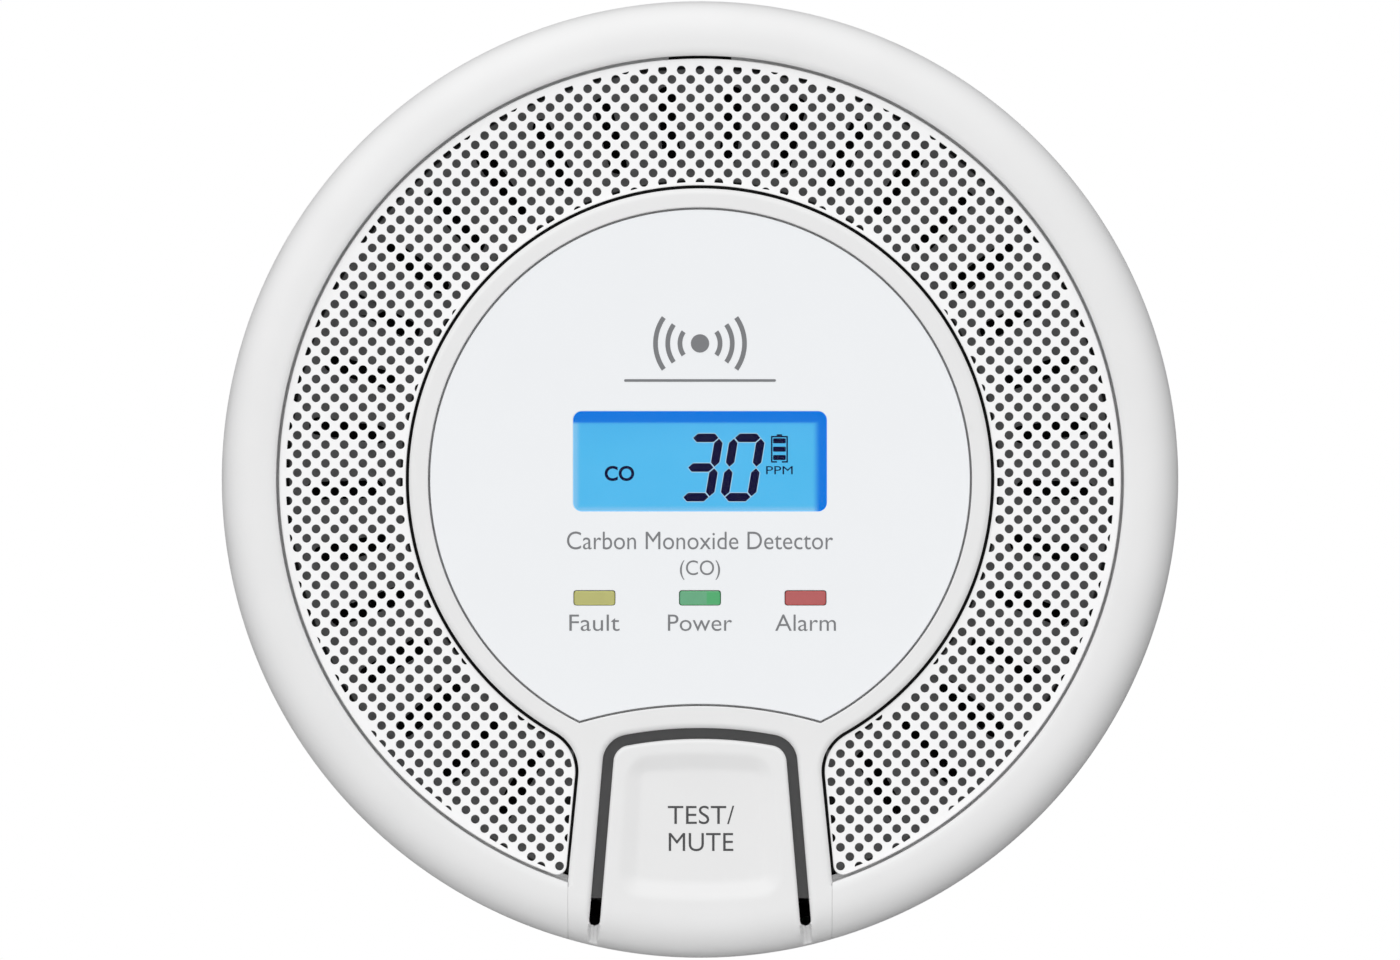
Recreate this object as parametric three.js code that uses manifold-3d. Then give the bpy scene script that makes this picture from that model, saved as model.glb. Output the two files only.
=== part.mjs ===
// A round, battery-powered carbon monoxide alarm on its twist-off wall bracket.
//
// Millimetres, +Z up. The wall is the plane y = 0 and the face looks along -Y. The origin is
// the centre of the bracket's wall side. Depths are "levels", the distance out from the wall,
// so a point at level 35 has y = -35. Flat outlines are drawn in x and z, as seen from the front.
import * as THREE from "three";
import { mergeVertices } from "three/addons/utils/BufferGeometryUtils.js";
import Module from "manifold-3d";

const wasm = await Module();
wasm.setup();

// ---------------------------------------------------------------- driving dimensions

const BODY_R = 55; // widest radius of the case
const FRONT = 35; // level of the front face
const CASE_FACETS = 48; // facets round the case
const GAP = 0.3; // clearance between neighbouring pieces
const WALL = 2; // wall of the case
const SHADOW_GAP = 0.45; // dark line between the grille and the ring round the label

// Rim of the front ring: flat on top, then a quarter ellipse out to the widest point.
const RIM_CREST_R = 49.6;
const RIM_DROP = 6.5;
const RIM_INNER_R = 48.8;
const RIM_INNER_ROUND = RIM_CREST_R - RIM_INNER_R;
const PARTING = 15.6; // level of the joint between the front ring and the rear housing

// Keyhole-shaped bezel: a ring round the label and a neck that widens down to the rim.
const BEZEL_R = 33.6;
const BEZEL_BACK = 32.2;
const NECK_HALF = 11.55; // half width that the neck's side lines reach at z = 0
const NECK_FLARE = 0.078; // how much wider each side gets for each millimetre down
const NECK_FILLET = 5.2;
const FOOT_HALF = 15.15; // below this width the foot's sides run straight down
const FOOT_TOP_Z = -46;
const FOOT_BACK = 24; // how far back the foot wraps over the rim

// Label: a disc whose foot is an arc that stays concentric with the top of the button.
const LABEL_R = 30.95;
const LABEL_THICK = 1.2;
const LABEL_FRONT = 34.8;
const LABEL_FLOOR_FRONT = 33.3;
const LABEL_MARGIN = 0.25;
const ARC_CENTRE_Z = -75.5;
const LABEL_ARC_R = 49.5;

// Test button: a tab in a U-shaped slot, moulded with the bezel and bent at its foot.
const SLOT_ARC_R = 47;
const SLOT_HALF = 8.45;
const SLOT_FLARE = 0.0844;
const SLOT_CORNER = 3.2;
const SLOT_WIDTH = 1.25;
const BUTTON_HINGE_Z = -50.5;
const BUTTON_THICK = 2;
const DISH = { z: -39.9, w: 15.4, h: 14.6, r: 2, deep: 0.6 }; // finger dish on the button

// Perforated grille, a C round the label.
const GRILLE_INNER_R = BEZEL_R + SHADOW_GAP;
const GRILLE_OUTER_R = 48.35;
const GRILLE_FRONT = 34;
const GRILLE_THICK = 1.1;
const GRILLE_CORNER = 1.1;

// Dark inner cover behind the grille, with a ring of radial vents.
const COVER_FRONT = 31.9;
const COVER_BACK = 30.7;
const COVER_FLANGE_R = 51.4;
const COVER_PLATE_R = 46.4;
const COVER_CHORD_Z = -48.1;
const VENTS_PER_SIDE = 16;
const VENT_FIRST_DEG = 5.3; // angle of the first vent from straight up
const VENT_STEP_DEG = 9.63;
const VENT_INNER_R = 36.8;
const VENT_OUTER_R = 45.2;
const VENT_WIDTH = 1.5;

// Display and status lights.
const LCD_Z = 2.08;
const LCD_WINDOW = { w: 29.1, h: 11.5, r: 1.2 };
const LCD_GLASS = { w: 33, h: 14.8 };
const LIGHT_Z = -13.58;
const LIGHT_PITCH = 12.1;
const LIGHT = { w: 4.8, h: 1.74, r: 0.35 };

// Circuit board and what stands on it.
const PCB_BACK = 25.7;
const PCB_FRONT = 27.3;
const PCB_R = 42.5;
const SWITCH_Z = -36;
const SENSOR = { x: -27, z: -22, r: 10, back: 11, front: 24.9 };
const BUZZER = { z: 31, r: 13.4, back: 17, front: 29.3 };

// Screws that clamp the rear housing to the inner cover's posts.
const POST_R = 44;
const POST_ANGLES_DEG = [30, 150, 270];

// Rear housing and battery bay.
const FLOOR_BACK = 3.6;
const FLOOR_FRONT = 5.6;
const SKIRT_BACK = 1;
const BASE_R = 50.5;
const BAY = { w: 39.8, h: 18.6, front: 23.7 };
const BAY_WALL = 1.5;
const DOOR = { w: 42.6, h: 21.8, back: 3.8, front: 5 };
const DOOR_HINGE_Z = -11;
const DOOR_HINGE_LEVEL = 4.7;
const BATTERY_R = 8.4;
const BATTERY_LEVEL = 14.4;
const BATTERY_X = [-15.6, 17.5, 18.9]; // spring end, shoulder and tip of the button contact

// Wall bracket, with a bayonet of three lugs that catch three ledges of the rear housing.
const BRACKET_R = 46;
const BRACKET_THICK = 2;
const BRACKET_OPENING_R = 26;
const LUG_ANGLES_DEG = [90, 210, 330];
const LUG_HALF_DEG = 8;
const LEDGE_HALF_DEG = 6;
const STOP_DEG = [-8, -6.7]; // the stop beside each ledge, on its clockwise side

// ---------------------------------------------------------------- solids

const rad = THREE.MathUtils.degToRad;

/** A closed three.js geometry as a manifold-3d solid, turned the right way out. */
function solidOf(geometry) {
  const bare = geometry.index ? geometry.toNonIndexed() : geometry.clone();
  for (const name of ["normal", "uv"]) bare.deleteAttribute(name);
  const merged = mergeVertices(bare, 1e-4);
  const corners = merged.index.array;
  const make = (order) => {
    const faces = [];
    for (let i = 0; i < corners.length; i += 3) {
      const face = order.map((k) => corners[i + k]);
      if (new Set(face).size === 3) faces.push(...face);
    }
    return new wasm.Manifold(
      new wasm.Mesh({
        numProp: 3,
        vertProperties: merged.attributes.position.array,
        triVerts: new Uint32Array(faces),
      }),
    );
  };
  const solid = make([0, 1, 2]);
  return solid.volume() > 0 ? solid : make([0, 2, 1]);
}

/** A manifold-3d solid as a three.js geometry. */
function geometryOf(solid) {
  const mesh = solid.getMesh();
  const places = new Float32Array(mesh.numVert * 3);
  for (let i = 0; i < mesh.numVert; i++) {
    places.set(mesh.vertProperties.subarray(i * mesh.numProp, i * mesh.numProp + 3), i * 3);
  }
  const geometry = new THREE.BufferGeometry();
  geometry.setAttribute("position", new THREE.BufferAttribute(places, 3));
  geometry.setIndex(new THREE.BufferAttribute(mesh.triVerts, 1));
  geometry.computeVertexNormals();
  return geometry;
}

/** A flat outline in x and z, as thick as from one level to another. */
function plate(shape, back, front, curveSegments = 12) {
  const settings = { depth: front - back, bevelEnabled: false, curveSegments };
  const geometry = new THREE.ExtrudeGeometry(shape, settings);
  geometry.rotateX(Math.PI / 2).translate(0, -back, 0);
  return solidOf(geometry);
}

/** A profile of [radius, level] points turned about the wall's normal at (x, z). */
function revolve(profile, x = 0, z = 0, facets = CASE_FACETS) {
  const points = profile.map(([r, level]) => new THREE.Vector2(r, -level));
  return solidOf(new THREE.LatheGeometry(points, facets).translate(x, 0, z));
}

/** The same for a profile that closes on itself away from the axis. */
function revolveRing(profile, x = 0, z = 0, facets = CASE_FACETS) {
  return revolve([...profile, profile[0]], x, z, facets);
}

/** A round bar along the wall's normal. */
function bar(x, z, r, back, front, facets = 16) {
  const geometry = new THREE.CylinderGeometry(r, r, front - back, facets);
  return solidOf(geometry.translate(x, -(back + front) / 2, z));
}

/** A block from its middle in x and z, its width and height, and its two levels. */
function block(x, z, w, h, back, front) {
  const geometry = new THREE.BoxGeometry(w, front - back, h);
  return solidOf(geometry.translate(x, -(back + front) / 2, z));
}

/** A round profile of [radius, x] points turned about an axis along X. */
function revolveAlongX(profile, level, z, facets = 24) {
  const points = profile.map(([r, x]) => new THREE.Vector2(r, -x));
  const geometry = new THREE.LatheGeometry(points, facets).rotateZ(Math.PI / 2);
  return solidOf(geometry.translate(0, -level, z));
}

/** A bent round wire through points of [x, level, z]. */
function wire(points, r, sides, steps) {
  const path = new THREE.CatmullRomCurve3(points.map(([x, level, z]) => new THREE.Vector3(x, -level, z)));
  const section = new THREE.Shape(new THREE.Path().absarc(0, 0, r, 0, 2 * Math.PI).getPoints(sides / 2));
  return solidOf(new THREE.ExtrudeGeometry(section, { steps, extrudePath: path, bevelEnabled: false }));
}

// ---------------------------------------------------------------- outlines

const circle = (r, x = 0, z = 0) => new THREE.Shape().absarc(x, z, r, 0, 2 * Math.PI, false);

function roundedBox(x, z, w, h, r) {
  const [a, b] = [w / 2 - r, h / 2 - r];
  return new THREE.Shape()
    .absarc(x + a, z + b, r, 0, Math.PI / 2)
    .absarc(x - a, z + b, r, Math.PI / 2, Math.PI)
    .absarc(x - a, z - b, r, Math.PI, 1.5 * Math.PI)
    .absarc(x + a, z - b, r, 1.5 * Math.PI, 2 * Math.PI)
    .closePath();
}

/** Part of a ring, between two radii and two angles counted from +X towards +Z. */
function sector(innerR, outerR, fromDeg, toDeg) {
  return new THREE.Shape()
    .absarc(0, 0, outerR, rad(fromDeg), rad(toDeg), false)
    .absarc(0, 0, innerR, rad(toDeg), rad(fromDeg), true)
    .closePath();
}

/** A slot with round ends, along a ring or along a radius. */
function arcSlot(r, width, midDeg, halfDeg) {
  const [from, to] = [rad(midDeg - halfDeg), rad(midDeg + halfDeg)];
  const end = (angle) => [r * Math.cos(angle), r * Math.sin(angle)];
  return new THREE.Shape()
    .absarc(0, 0, r + width / 2, from, to, false)
    .absarc(...end(to), width / 2, to, to + Math.PI, false)
    .absarc(0, 0, r - width / 2, to, from, true)
    .absarc(...end(from), width / 2, from + Math.PI, from + 2 * Math.PI, false)
    .closePath();
}

function radialSlot(innerR, outerR, width, angle) {
  const half = width / 2;
  const end = (r) => [r * Math.cos(angle), r * Math.sin(angle)];
  return new THREE.Shape()
    .absarc(...end(outerR - half), half, angle - Math.PI / 2, angle + Math.PI / 2, false)
    .absarc(...end(innerR + half), half, angle + Math.PI / 2, angle + 1.5 * Math.PI, false)
    .closePath();
}

/**
 * Where the line x = half - flare * z, moved sideways by offset, meets a circle of radius r
 * about (0, centreZ). upper picks the higher of the two places.
 */
function meet(half, flare, offset, centreZ, r, upper) {
  const k = half + offset * Math.hypot(1, flare);
  const a = 1 + flare * flare;
  const b = k * flare + centreZ;
  const root = Math.sqrt(b * b - a * (k * k + centreZ * centreZ - r * r));
  const z = (b + (upper ? root : -root)) / a;
  return { x: k - flare * z, z };
}

const NECK_TILT = Math.atan(NECK_FLARE);
const SLOT_TILT = Math.atan(SLOT_FLARE);

/** The bezel's outline: the ring, a fillet on each side, the neck and the foot. */
function bezelOutline() {
  const fillet = meet(NECK_HALF, NECK_FLARE, NECK_FILLET, 0, BEZEL_R + NECK_FILLET, false);
  const leave = Math.atan2(fillet.z, fillet.x);
  const footEndZ = -BODY_R - 1;
  return new THREE.Shape()
    .absarc(0, 0, BEZEL_R, leave, Math.PI - leave, false)
    .absarc(-fillet.x, fillet.z, NECK_FILLET, -leave, -NECK_TILT, true)
    .lineTo(-FOOT_HALF, FOOT_TOP_Z)
    .lineTo(-FOOT_HALF, footEndZ)
    .lineTo(FOOT_HALF, footEndZ)
    .lineTo(FOOT_HALF, FOOT_TOP_Z)
    .absarc(fillet.x, fillet.z, NECK_FILLET, Math.PI + NECK_TILT, Math.PI + leave, true)
    .closePath();
}

/** The grille's outline: a C that follows the bezel at the width of the shadow gap. */
function grilleOutline() {
  const fillet = meet(NECK_HALF, NECK_FLARE, NECK_FILLET, 0, BEZEL_R + NECK_FILLET, false);
  const filletR = NECK_FILLET - SHADOW_GAP;
  const leave = Math.atan2(fillet.z, fillet.x);
  const corner = meet(
    NECK_HALF,
    NECK_FLARE,
    SHADOW_GAP + GRILLE_CORNER,
    0,
    GRILLE_OUTER_R - GRILLE_CORNER,
    false,
  );
  const turn = Math.atan2(corner.z, corner.x);
  return new THREE.Shape()
    .absarc(0, 0, GRILLE_OUTER_R, turn, Math.PI - turn, false)
    .absarc(-corner.x, corner.z, GRILLE_CORNER, Math.PI - turn, 2 * Math.PI - NECK_TILT, false)
    .absarc(-fillet.x, fillet.z, filletR, -NECK_TILT, -leave, false)
    .absarc(0, 0, GRILLE_INNER_R, Math.PI - leave, leave, true)
    .absarc(fillet.x, fillet.z, filletR, Math.PI + leave, Math.PI + NECK_TILT, false)
    .absarc(corner.x, corner.z, GRILLE_CORNER, Math.PI + NECK_TILT, 2 * Math.PI + turn, false)
    .closePath();
}

/** The label's outline, grown by a margin. */
function labelOutline(margin) {
  const [r, arcR] = [LABEL_R + margin, LABEL_ARC_R - margin];
  const z = (arcR * arcR - r * r - ARC_CENTRE_Z * ARC_CENTRE_Z) / (-2 * ARC_CENTRE_Z);
  const x = Math.sqrt(r * r - z * z);
  const onArc = Math.atan2(z - ARC_CENTRE_Z, x);
  return new THREE.Shape()
    .absarc(0, 0, r, Math.atan2(z, x), Math.PI - Math.atan2(z, x), false)
    .absarc(0, ARC_CENTRE_Z, arcR, Math.PI - onArc, onArc, true)
    .closePath();
}

/** The outline of the button's slot, or of the tab when it is drawn in by the slot's width. */
function tabOutline(drawnIn, footZ) {
  const round = SLOT_CORNER - drawnIn;
  const corner = meet(SLOT_HALF, SLOT_FLARE, -SLOT_CORNER, ARC_CENTRE_Z, SLOT_ARC_R - SLOT_CORNER, true);
  const turn = Math.atan2(corner.z - ARC_CENTRE_Z, corner.x);
  const footX = SLOT_HALF - drawnIn * Math.hypot(1, SLOT_FLARE) - SLOT_FLARE * footZ;
  return new THREE.Shape()
    .absarc(corner.x, corner.z, round, SLOT_TILT, turn, false)
    .absarc(0, ARC_CENTRE_Z, SLOT_ARC_R - drawnIn, turn, Math.PI - turn, false)
    .absarc(-corner.x, corner.z, round, Math.PI - turn, Math.PI - SLOT_TILT, false)
    .lineTo(-footX, footZ)
    .lineTo(footX, footZ)
    .closePath();
}

/** The rim's outer curve from its crest to its widest point, drawn in by an inset. */
function rimCurve(inset, steps = 8) {
  return Array.from({ length: steps + 1 }, (_, i) => {
    const turn = (i / steps) * (Math.PI / 2);
    const [across, deep] = [BODY_R - RIM_CREST_R - inset, RIM_DROP - inset];
    return [RIM_CREST_R + across * Math.sin(turn), FRONT - RIM_DROP + deep * Math.cos(turn)];
  });
}

// ---------------------------------------------------------------- wall bracket

function mountingBracket() {
  const keyhole = (x) => [
    plate(circle(4.6, x, -4), -1, BRACKET_THICK + 1, 8),
    plate(roundedBox(x, 1.5, 5, 12, 2.49), -1, BRACKET_THICK + 1, 4),
  ];
  const lugRoot = BRACKET_R - 0.1;
  const lugR = 47.3;
  let solid = revolveRing([
    [BRACKET_OPENING_R, 0],
    [BRACKET_R, 0],
    [BRACKET_R, 3.3],
    [44.6, 3.3],
    [44.6, BRACKET_THICK],
    [27.5, BRACKET_THICK],
    [27.5, 3],
    [BRACKET_OPENING_R, 3],
  ]);
  for (const mid of LUG_ANGLES_DEG) {
    const lug = sector(lugRoot, lugR, mid - LUG_HALF_DEG, mid + LUG_HALF_DEG);
    const stop = sector(lugRoot, lugR, mid + STOP_DEG[0], mid + STOP_DEG[1]);
    solid = solid.add(plate(lug, 2.3, 3.3, 3)).add(plate(stop, SKIRT_BACK, 3.3, 1));
  }
  for (const cut of [...keyhole(-35.5), ...keyhole(35.5)]) solid = solid.subtract(cut);
  for (const mid of [90, 270]) {
    solid = solid.subtract(plate(arcSlot(36, 5.4, mid, 17), -1, BRACKET_THICK + 1, 5));
  }
  return solid;
}

// ---------------------------------------------------------------- case

function rearHousing() {
  const steps = 7;
  const [partingR, top] = [53.8, PARTING - GAP];
  const side = Array.from({ length: steps + 1 }, (_, i) => {
    const turn = (1 - i / steps) * (Math.PI / 2);
    const level = SKIRT_BACK + (top - SKIRT_BACK) * (1 - Math.cos(turn));
    return [BASE_R + (partingR - BASE_R) * Math.sin(turn), level];
  });
  let solid = revolve([
    [0, FLOOR_FRONT],
    [48.2, FLOOR_FRONT],
    [50.4, 8],
    [partingR - WALL, top],
    ...side,
    [48.5, SKIRT_BACK],
    [47.6, FLOOR_BACK],
    [0, FLOOR_BACK],
  ]);
  for (const mid of LUG_ANGLES_DEG) {
    const ledge = sector(46.4, 49, mid - LEDGE_HALF_DEG, mid + LEDGE_HALF_DEG);
    solid = solid.add(plate(ledge, SKIRT_BACK, 2, 2));
  }
  for (const angle of POST_ANGLES_DEG.map(rad)) {
    const [x, z] = [POST_R * Math.cos(angle), POST_R * Math.sin(angle)];
    solid = solid.add(bar(x, z, 4.4, FLOOR_FRONT - 0.5, 7.6));
    solid = solid.subtract(bar(x, z, 2.9, FLOOR_BACK - 1, 6.6)).subtract(bar(x, z, 1.5, 6, 9, 12));
  }
  return batteryBay(solid);
}

/** Adds the battery bay and cuts the seat, trough and pin sockets of its door. */
function batteryBay(housing) {
  const outside = roundedBox(0, 0, BAY.w + 2 * BAY_WALL, BAY.h + 2 * BAY_WALL, 1.6);
  const seatDepth = DOOR.front + GAP;
  const trough = 1.5;
  let solid = housing
    .add(plate(outside, FLOOR_FRONT - 0.5, BAY.front + 1.4, 3))
    .subtract(block(0, 0, BAY.w, BAY.h, FLOOR_BACK - 1, BAY.front))
    .subtract(block(0, 0, DOOR.w + 2 * GAP, DOOR.h + 2 * GAP, FLOOR_BACK - 1, seatDepth));
  solid = solid.subtract(
    block(0, DOOR_HINGE_Z - 0.1, 40.6, 2 * trough, FLOOR_BACK - 1, DOOR_HINGE_LEVEL + trough),
  );
  const pin = [[0, -22], [0.95, -22], [0.95, 22], [0, 22]];
  const pinHole = revolveAlongX(pin, DOOR_HINGE_LEVEL, DOOR_HINGE_Z, 12);
  const thumbNotch = plate(circle(5, 0, DOOR.h / 2 + 1.2), FLOOR_BACK - 1, FLOOR_BACK + 1.2, 8);
  return solid.subtract(pinHole).subtract(thumbNotch);
}

function frontRing() {
  const inner = rimCurve(WALL, 8).filter(([, level]) => level < 31.1);
  const round = Array.from({ length: 4 }, (_, i) => {
    const turn = (i / 3) * (Math.PI / 2);
    return [
      RIM_CREST_R - RIM_INNER_ROUND * Math.sin(turn),
      FRONT - RIM_INNER_ROUND * (1 - Math.cos(turn)),
    ];
  });
  const ledgeR = 46.8;
  const [ledgeFront, ledgeBack] = [GRILLE_FRONT - GRILLE_THICK - GAP, COVER_BACK + 0.1 + GAP];
  const solid = revolveRing([
    [54.1, PARTING],
    [54.75, 20],
    ...rimCurve(0, 8).reverse(),
    ...round.slice(1),
    [RIM_INNER_R, ledgeFront],
    [ledgeR, ledgeFront],
    [ledgeR, ledgeBack],
    [52, ledgeBack],
    ...inner,
    [54.1 - WALL, PARTING],
  ]);
  const notchHalf = FOOT_HALF + GAP;
  const notch = block(0, -BODY_R, 2 * notchHalf, 30, FOOT_BACK - GAP, FRONT + 1);
  const topSlit = block(0, RIM_INNER_R - 0.9, 7.2, 2, ledgeBack - 1, ledgeFront + 0.4);
  return solid.subtract(notch).subtract(topSlit);
}

/** Everything under the case's outer surface, from the level of the foot's back edge. */
function underSurface() {
  return revolve([[0, FRONT], ...rimCurve(0, 10), [BODY_R, FOOT_BACK], [0, FOOT_BACK]]);
}

/** The skin that the foot keeps where it wraps over the rim. */
function rimSkin() {
  return revolveRing([
    [46, FRONT],
    ...rimCurve(0, 10),
    [BODY_R - 0.1, FOOT_BACK],
    [BODY_R - WALL, FOOT_BACK],
    ...rimCurve(WALL, 10).reverse(),
    [46, FRONT - WALL],
  ]);
}

function bezelFrame() {
  const outline = bezelOutline();
  const slab = plate(outline, BEZEL_BACK, FRONT, 24).intersect(underSurface());
  const inside = plate(circle(RIM_INNER_R), BEZEL_BACK - 1, FRONT + 1, 30);
  const foot = plate(outline, FOOT_BACK, FRONT, 24).intersect(rimSkin());
  let solid = slab
    .intersect(inside)
    .add(foot)
    .subtract(plate(labelOutline(LABEL_MARGIN), LABEL_FLOOR_FRONT, FRONT + 1, 30))
    .subtract(plate(tabOutline(0, BUTTON_HINGE_Z - 0.2), BEZEL_BACK - 2, FRONT + 1, 10));
  const { w, h, r } = LCD_WINDOW;
  solid = solid.subtract(plate(roundedBox(0, LCD_Z, w + 1, h + 1, r), BEZEL_BACK - 1, FRONT, 3));
  for (const x of [-LIGHT_PITCH, 0, LIGHT_PITCH]) {
    solid = solid.subtract(block(x, LIGHT_Z, LIGHT.w + GAP, LIGHT.h + GAP, BEZEL_BACK - 1, FRONT));
  }
  return solid;
}

function grille() {
  return plate(grilleOutline(), GRILLE_FRONT - GRILLE_THICK, GRILLE_FRONT, 30);
}

function innerCover() {
  let solid = bar(0, 0, COVER_FLANGE_R, COVER_BACK - 1.1, COVER_BACK + 0.1, CASE_FACETS)
    .add(bar(0, 0, COVER_PLATE_R, COVER_BACK, COVER_FRONT, CASE_FACETS))
    .add(block(0, -44, 2 * FOOT_HALF - 0.6, 12, COVER_BACK, COVER_FRONT));
  for (const angle of POST_ANGLES_DEG.map(rad)) {
    const [x, z] = [POST_R * Math.cos(angle), POST_R * Math.sin(angle)];
    solid = solid.add(bar(x, z, 3.2, 7.9, COVER_BACK, 12)).subtract(bar(x, z, 1.4, 7, 21, 8));
  }
  const through = [COVER_BACK - 2, COVER_FRONT + 1];
  solid = solid
    .subtract(block(0, COVER_CHORD_Z - 5, 60, 10, ...through))
    .subtract(block(0, LCD_Z, 37.6, 18.4, ...through))
    .subtract(block(0, SWITCH_Z, 6.8, 6.8, ...through));
  for (const x of [-LIGHT_PITCH, 0, LIGHT_PITCH]) {
    solid = solid.subtract(block(x, LIGHT_Z, LIGHT.w + 0.8, LIGHT.h + 0.8, ...through));
  }
  for (let i = 0; i < VENTS_PER_SIDE; i++) {
    for (const side of [-1, 1]) {
      const angle = Math.PI / 2 + side * rad(VENT_FIRST_DEG + i * VENT_STEP_DEG);
      const slot = radialSlot(VENT_INNER_R, VENT_OUTER_R, VENT_WIDTH, angle);
      solid = solid.subtract(plate(slot, ...through, 3));
    }
  }
  return solid;
}

function housingScrew(index) {
  const angle = rad(POST_ANGLES_DEG[index]);
  const [x, z] = [POST_R * Math.cos(angle), POST_R * Math.sin(angle)];
  const [headBack, seat, tip] = [4.2, 6.3, 20];
  const head = [[0, headBack], [2.2, headBack], [2.6, 4.8], [2.6, seat]];
  const shank = [[1.1, seat], [1.1, tip], [0, tip]];
  return revolve([...head, ...shank], x, z, 12)
    .subtract(block(x, z, 3.2, 0.7, headBack - 1, headBack + 1))
    .subtract(block(x, z, 0.7, 3.2, headBack - 1, headBack + 1));
}

// ---------------------------------------------------------------- label, display and lights

function labelPanel() {
  const { w, h, r } = LCD_WINDOW;
  const through = [LABEL_FRONT - LABEL_THICK - 1, LABEL_FRONT + 1];
  let solid = plate(labelOutline(0), LABEL_FRONT - LABEL_THICK, LABEL_FRONT, 40);
  solid = solid.subtract(plate(roundedBox(0, LCD_Z, w, h, r), ...through, 4));
  for (const x of [-LIGHT_PITCH, 0, LIGHT_PITCH]) {
    const outline = roundedBox(x, LIGHT_Z, LIGHT.w, LIGHT.h, LIGHT.r);
    solid = solid.subtract(plate(outline, ...through, 2));
  }
  return solid;
}

function lcdWindow() {
  const { w, h, r } = LCD_WINDOW;
  const outline = roundedBox(0, LCD_Z, w - GAP, h - GAP, r - GAP / 2);
  return plate(outline, LABEL_FRONT - LABEL_THICK, LABEL_FRONT - 0.1, 4);
}

const lcdGlass = () => block(0, LCD_Z, LCD_GLASS.w, LCD_GLASS.h, 30.7, COVER_FRONT);

const lcdBacklight = () => block(0, LCD_Z + 1.4, LCD_GLASS.w, 11.8, 28, 30.4);

const zebraStrip = () => block(0, LCD_Z - 6.2, 30, 1.9, PCB_FRONT + GAP, 30.4);

function lcdHolder() {
  return block(0, LCD_Z, 37, 17.8, PCB_FRONT + GAP, 31.6).subtract(
    block(0, LCD_Z, LCD_GLASS.w + 0.6, LCD_GLASS.h + 0.6, PCB_FRONT, COVER_FRONT + 1),
  );
}

function ledLens(x) {
  const outline = roundedBox(x, LIGHT_Z, LIGHT.w - GAP, LIGHT.h - GAP, LIGHT.r - 0.1);
  return plate(outline, 28.8, LABEL_FRONT - 0.1, 2);
}

const ledChip = (x) => block(x, LIGHT_Z, 3, 1.4, PCB_FRONT + GAP, 28.4);

// ---------------------------------------------------------------- test button and its switch

function testButton() {
  const tab = plate(tabOutline(SLOT_WIDTH, BUTTON_HINGE_Z + 0.1), FRONT - BUTTON_THICK, FRONT, 8);
  const dish = plate(roundedBox(0, DISH.z, DISH.w, DISH.h, DISH.r), FRONT - DISH.deep, FRONT + 1, 5);
  const post = bar(0, SWITCH_Z, 1.6, 31.6, FRONT - 1, 12);
  return tab.intersect(underSurface()).subtract(dish).add(post);
}

function switchBody() {
  const top = 30.4;
  return block(0, SWITCH_Z, 6, 6, PCB_FRONT + GAP, top).subtract(bar(0, SWITCH_Z, 2.1, 28.6, top + 1, 12));
}

const switchPlunger = () => bar(0, SWITCH_Z, 1.75, 29.4, 31.3, 12);

// ---------------------------------------------------------------- board and electronics

function mainPcb() {
  let solid = bar(0, 0, PCB_R, PCB_BACK, PCB_FRONT, 48);
  for (const angle of POST_ANGLES_DEG.map(rad)) {
    solid = solid.subtract(bar(POST_R * Math.cos(angle), POST_R * Math.sin(angle), 3.7, 20, 30, 16));
  }
  solid = solid.subtract(bar(0, BUZZER.z, BUZZER.r + 0.6, 20, 30, 32));
  for (const [x, z] of sensorPins()) solid = solid.subtract(bar(x, z, 0.8, 20, 30, 8));
  return solid;
}

function sensorPins() {
  return [90, 210, 330].map(rad).map((angle) => [
    SENSOR.x + 5 * Math.cos(angle),
    SENSOR.z + 5 * Math.sin(angle),
  ]);
}

function coSensor() {
  const { x, z, r, back, front } = SENSOR;
  const neck = [[0, back], [r - 0.8, back], [r - 0.8, back + 2]];
  let solid = revolve([...neck, [r, back + 2.6], [r, front], [0, front]], x, z, 32);
  for (const [px, pz] of sensorPins()) solid = solid.add(bar(px, pz, 0.5, front - 1, 28.2, 8));
  return solid;
}

function coSensorCap() {
  const { x, z, r, back } = SENSOR;
  const [top, skirt] = [back - 1.7, back + 1.6];
  const outside = [[1.2, top], [r, top], [r, skirt]];
  const inside = [[r - 0.45, skirt], [r - 0.45, back - GAP], [1.2, back - GAP]];
  return revolveRing([...outside, ...inside], x, z, 32);
}

function buzzerHousing() {
  const { r, back, front, z } = BUZZER;
  const seat = 19.8;
  const [bore, backBore] = [9.5, 11.2];
  const outside = [[r, back], [r, front], [12.2, front]];
  const inside = [[bore, 21], [bore, seat], [backBore, seat], [backBore, back]];
  return revolveRing([...outside, ...inside], 0, z, 32);
}

const piezoDisc = () =>
  revolve([[0, 18.8], [7, 18.8], [7, 19.1], [10.8, 19.1], [10.8, 19.5], [0, 19.5]], 0, BUZZER.z, 32);

function buzzerBackCap() {
  return bar(0, BUZZER.z, 10.9, 17.2, 18.4, 32).subtract(bar(0, BUZZER.z, 1.5, 17, 19, 8));
}

function buzzerWire(side) {
  return wire(
    [
      [side * 0.9, 16.4, BUZZER.z],
      [side * 2.5, 15.2, 26],
      [side * 4.5, 15.8, 18.5],
      [side * 6, 19, 14],
      [side * 6.2, 25.4, 13.6],
    ],
    0.55,
    6,
    18,
  );
}

const microcontroller = () => block(-27, -9.5, 9, 9, PCB_FRONT + GAP, 29.2);

function capacitor(x, z, r, back) {
  const front = 25.4;
  return revolve([[0, back], [r - 0.4, back], [r, back + 0.5], [r, front], [0, front]], x, z, 16);
}

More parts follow.
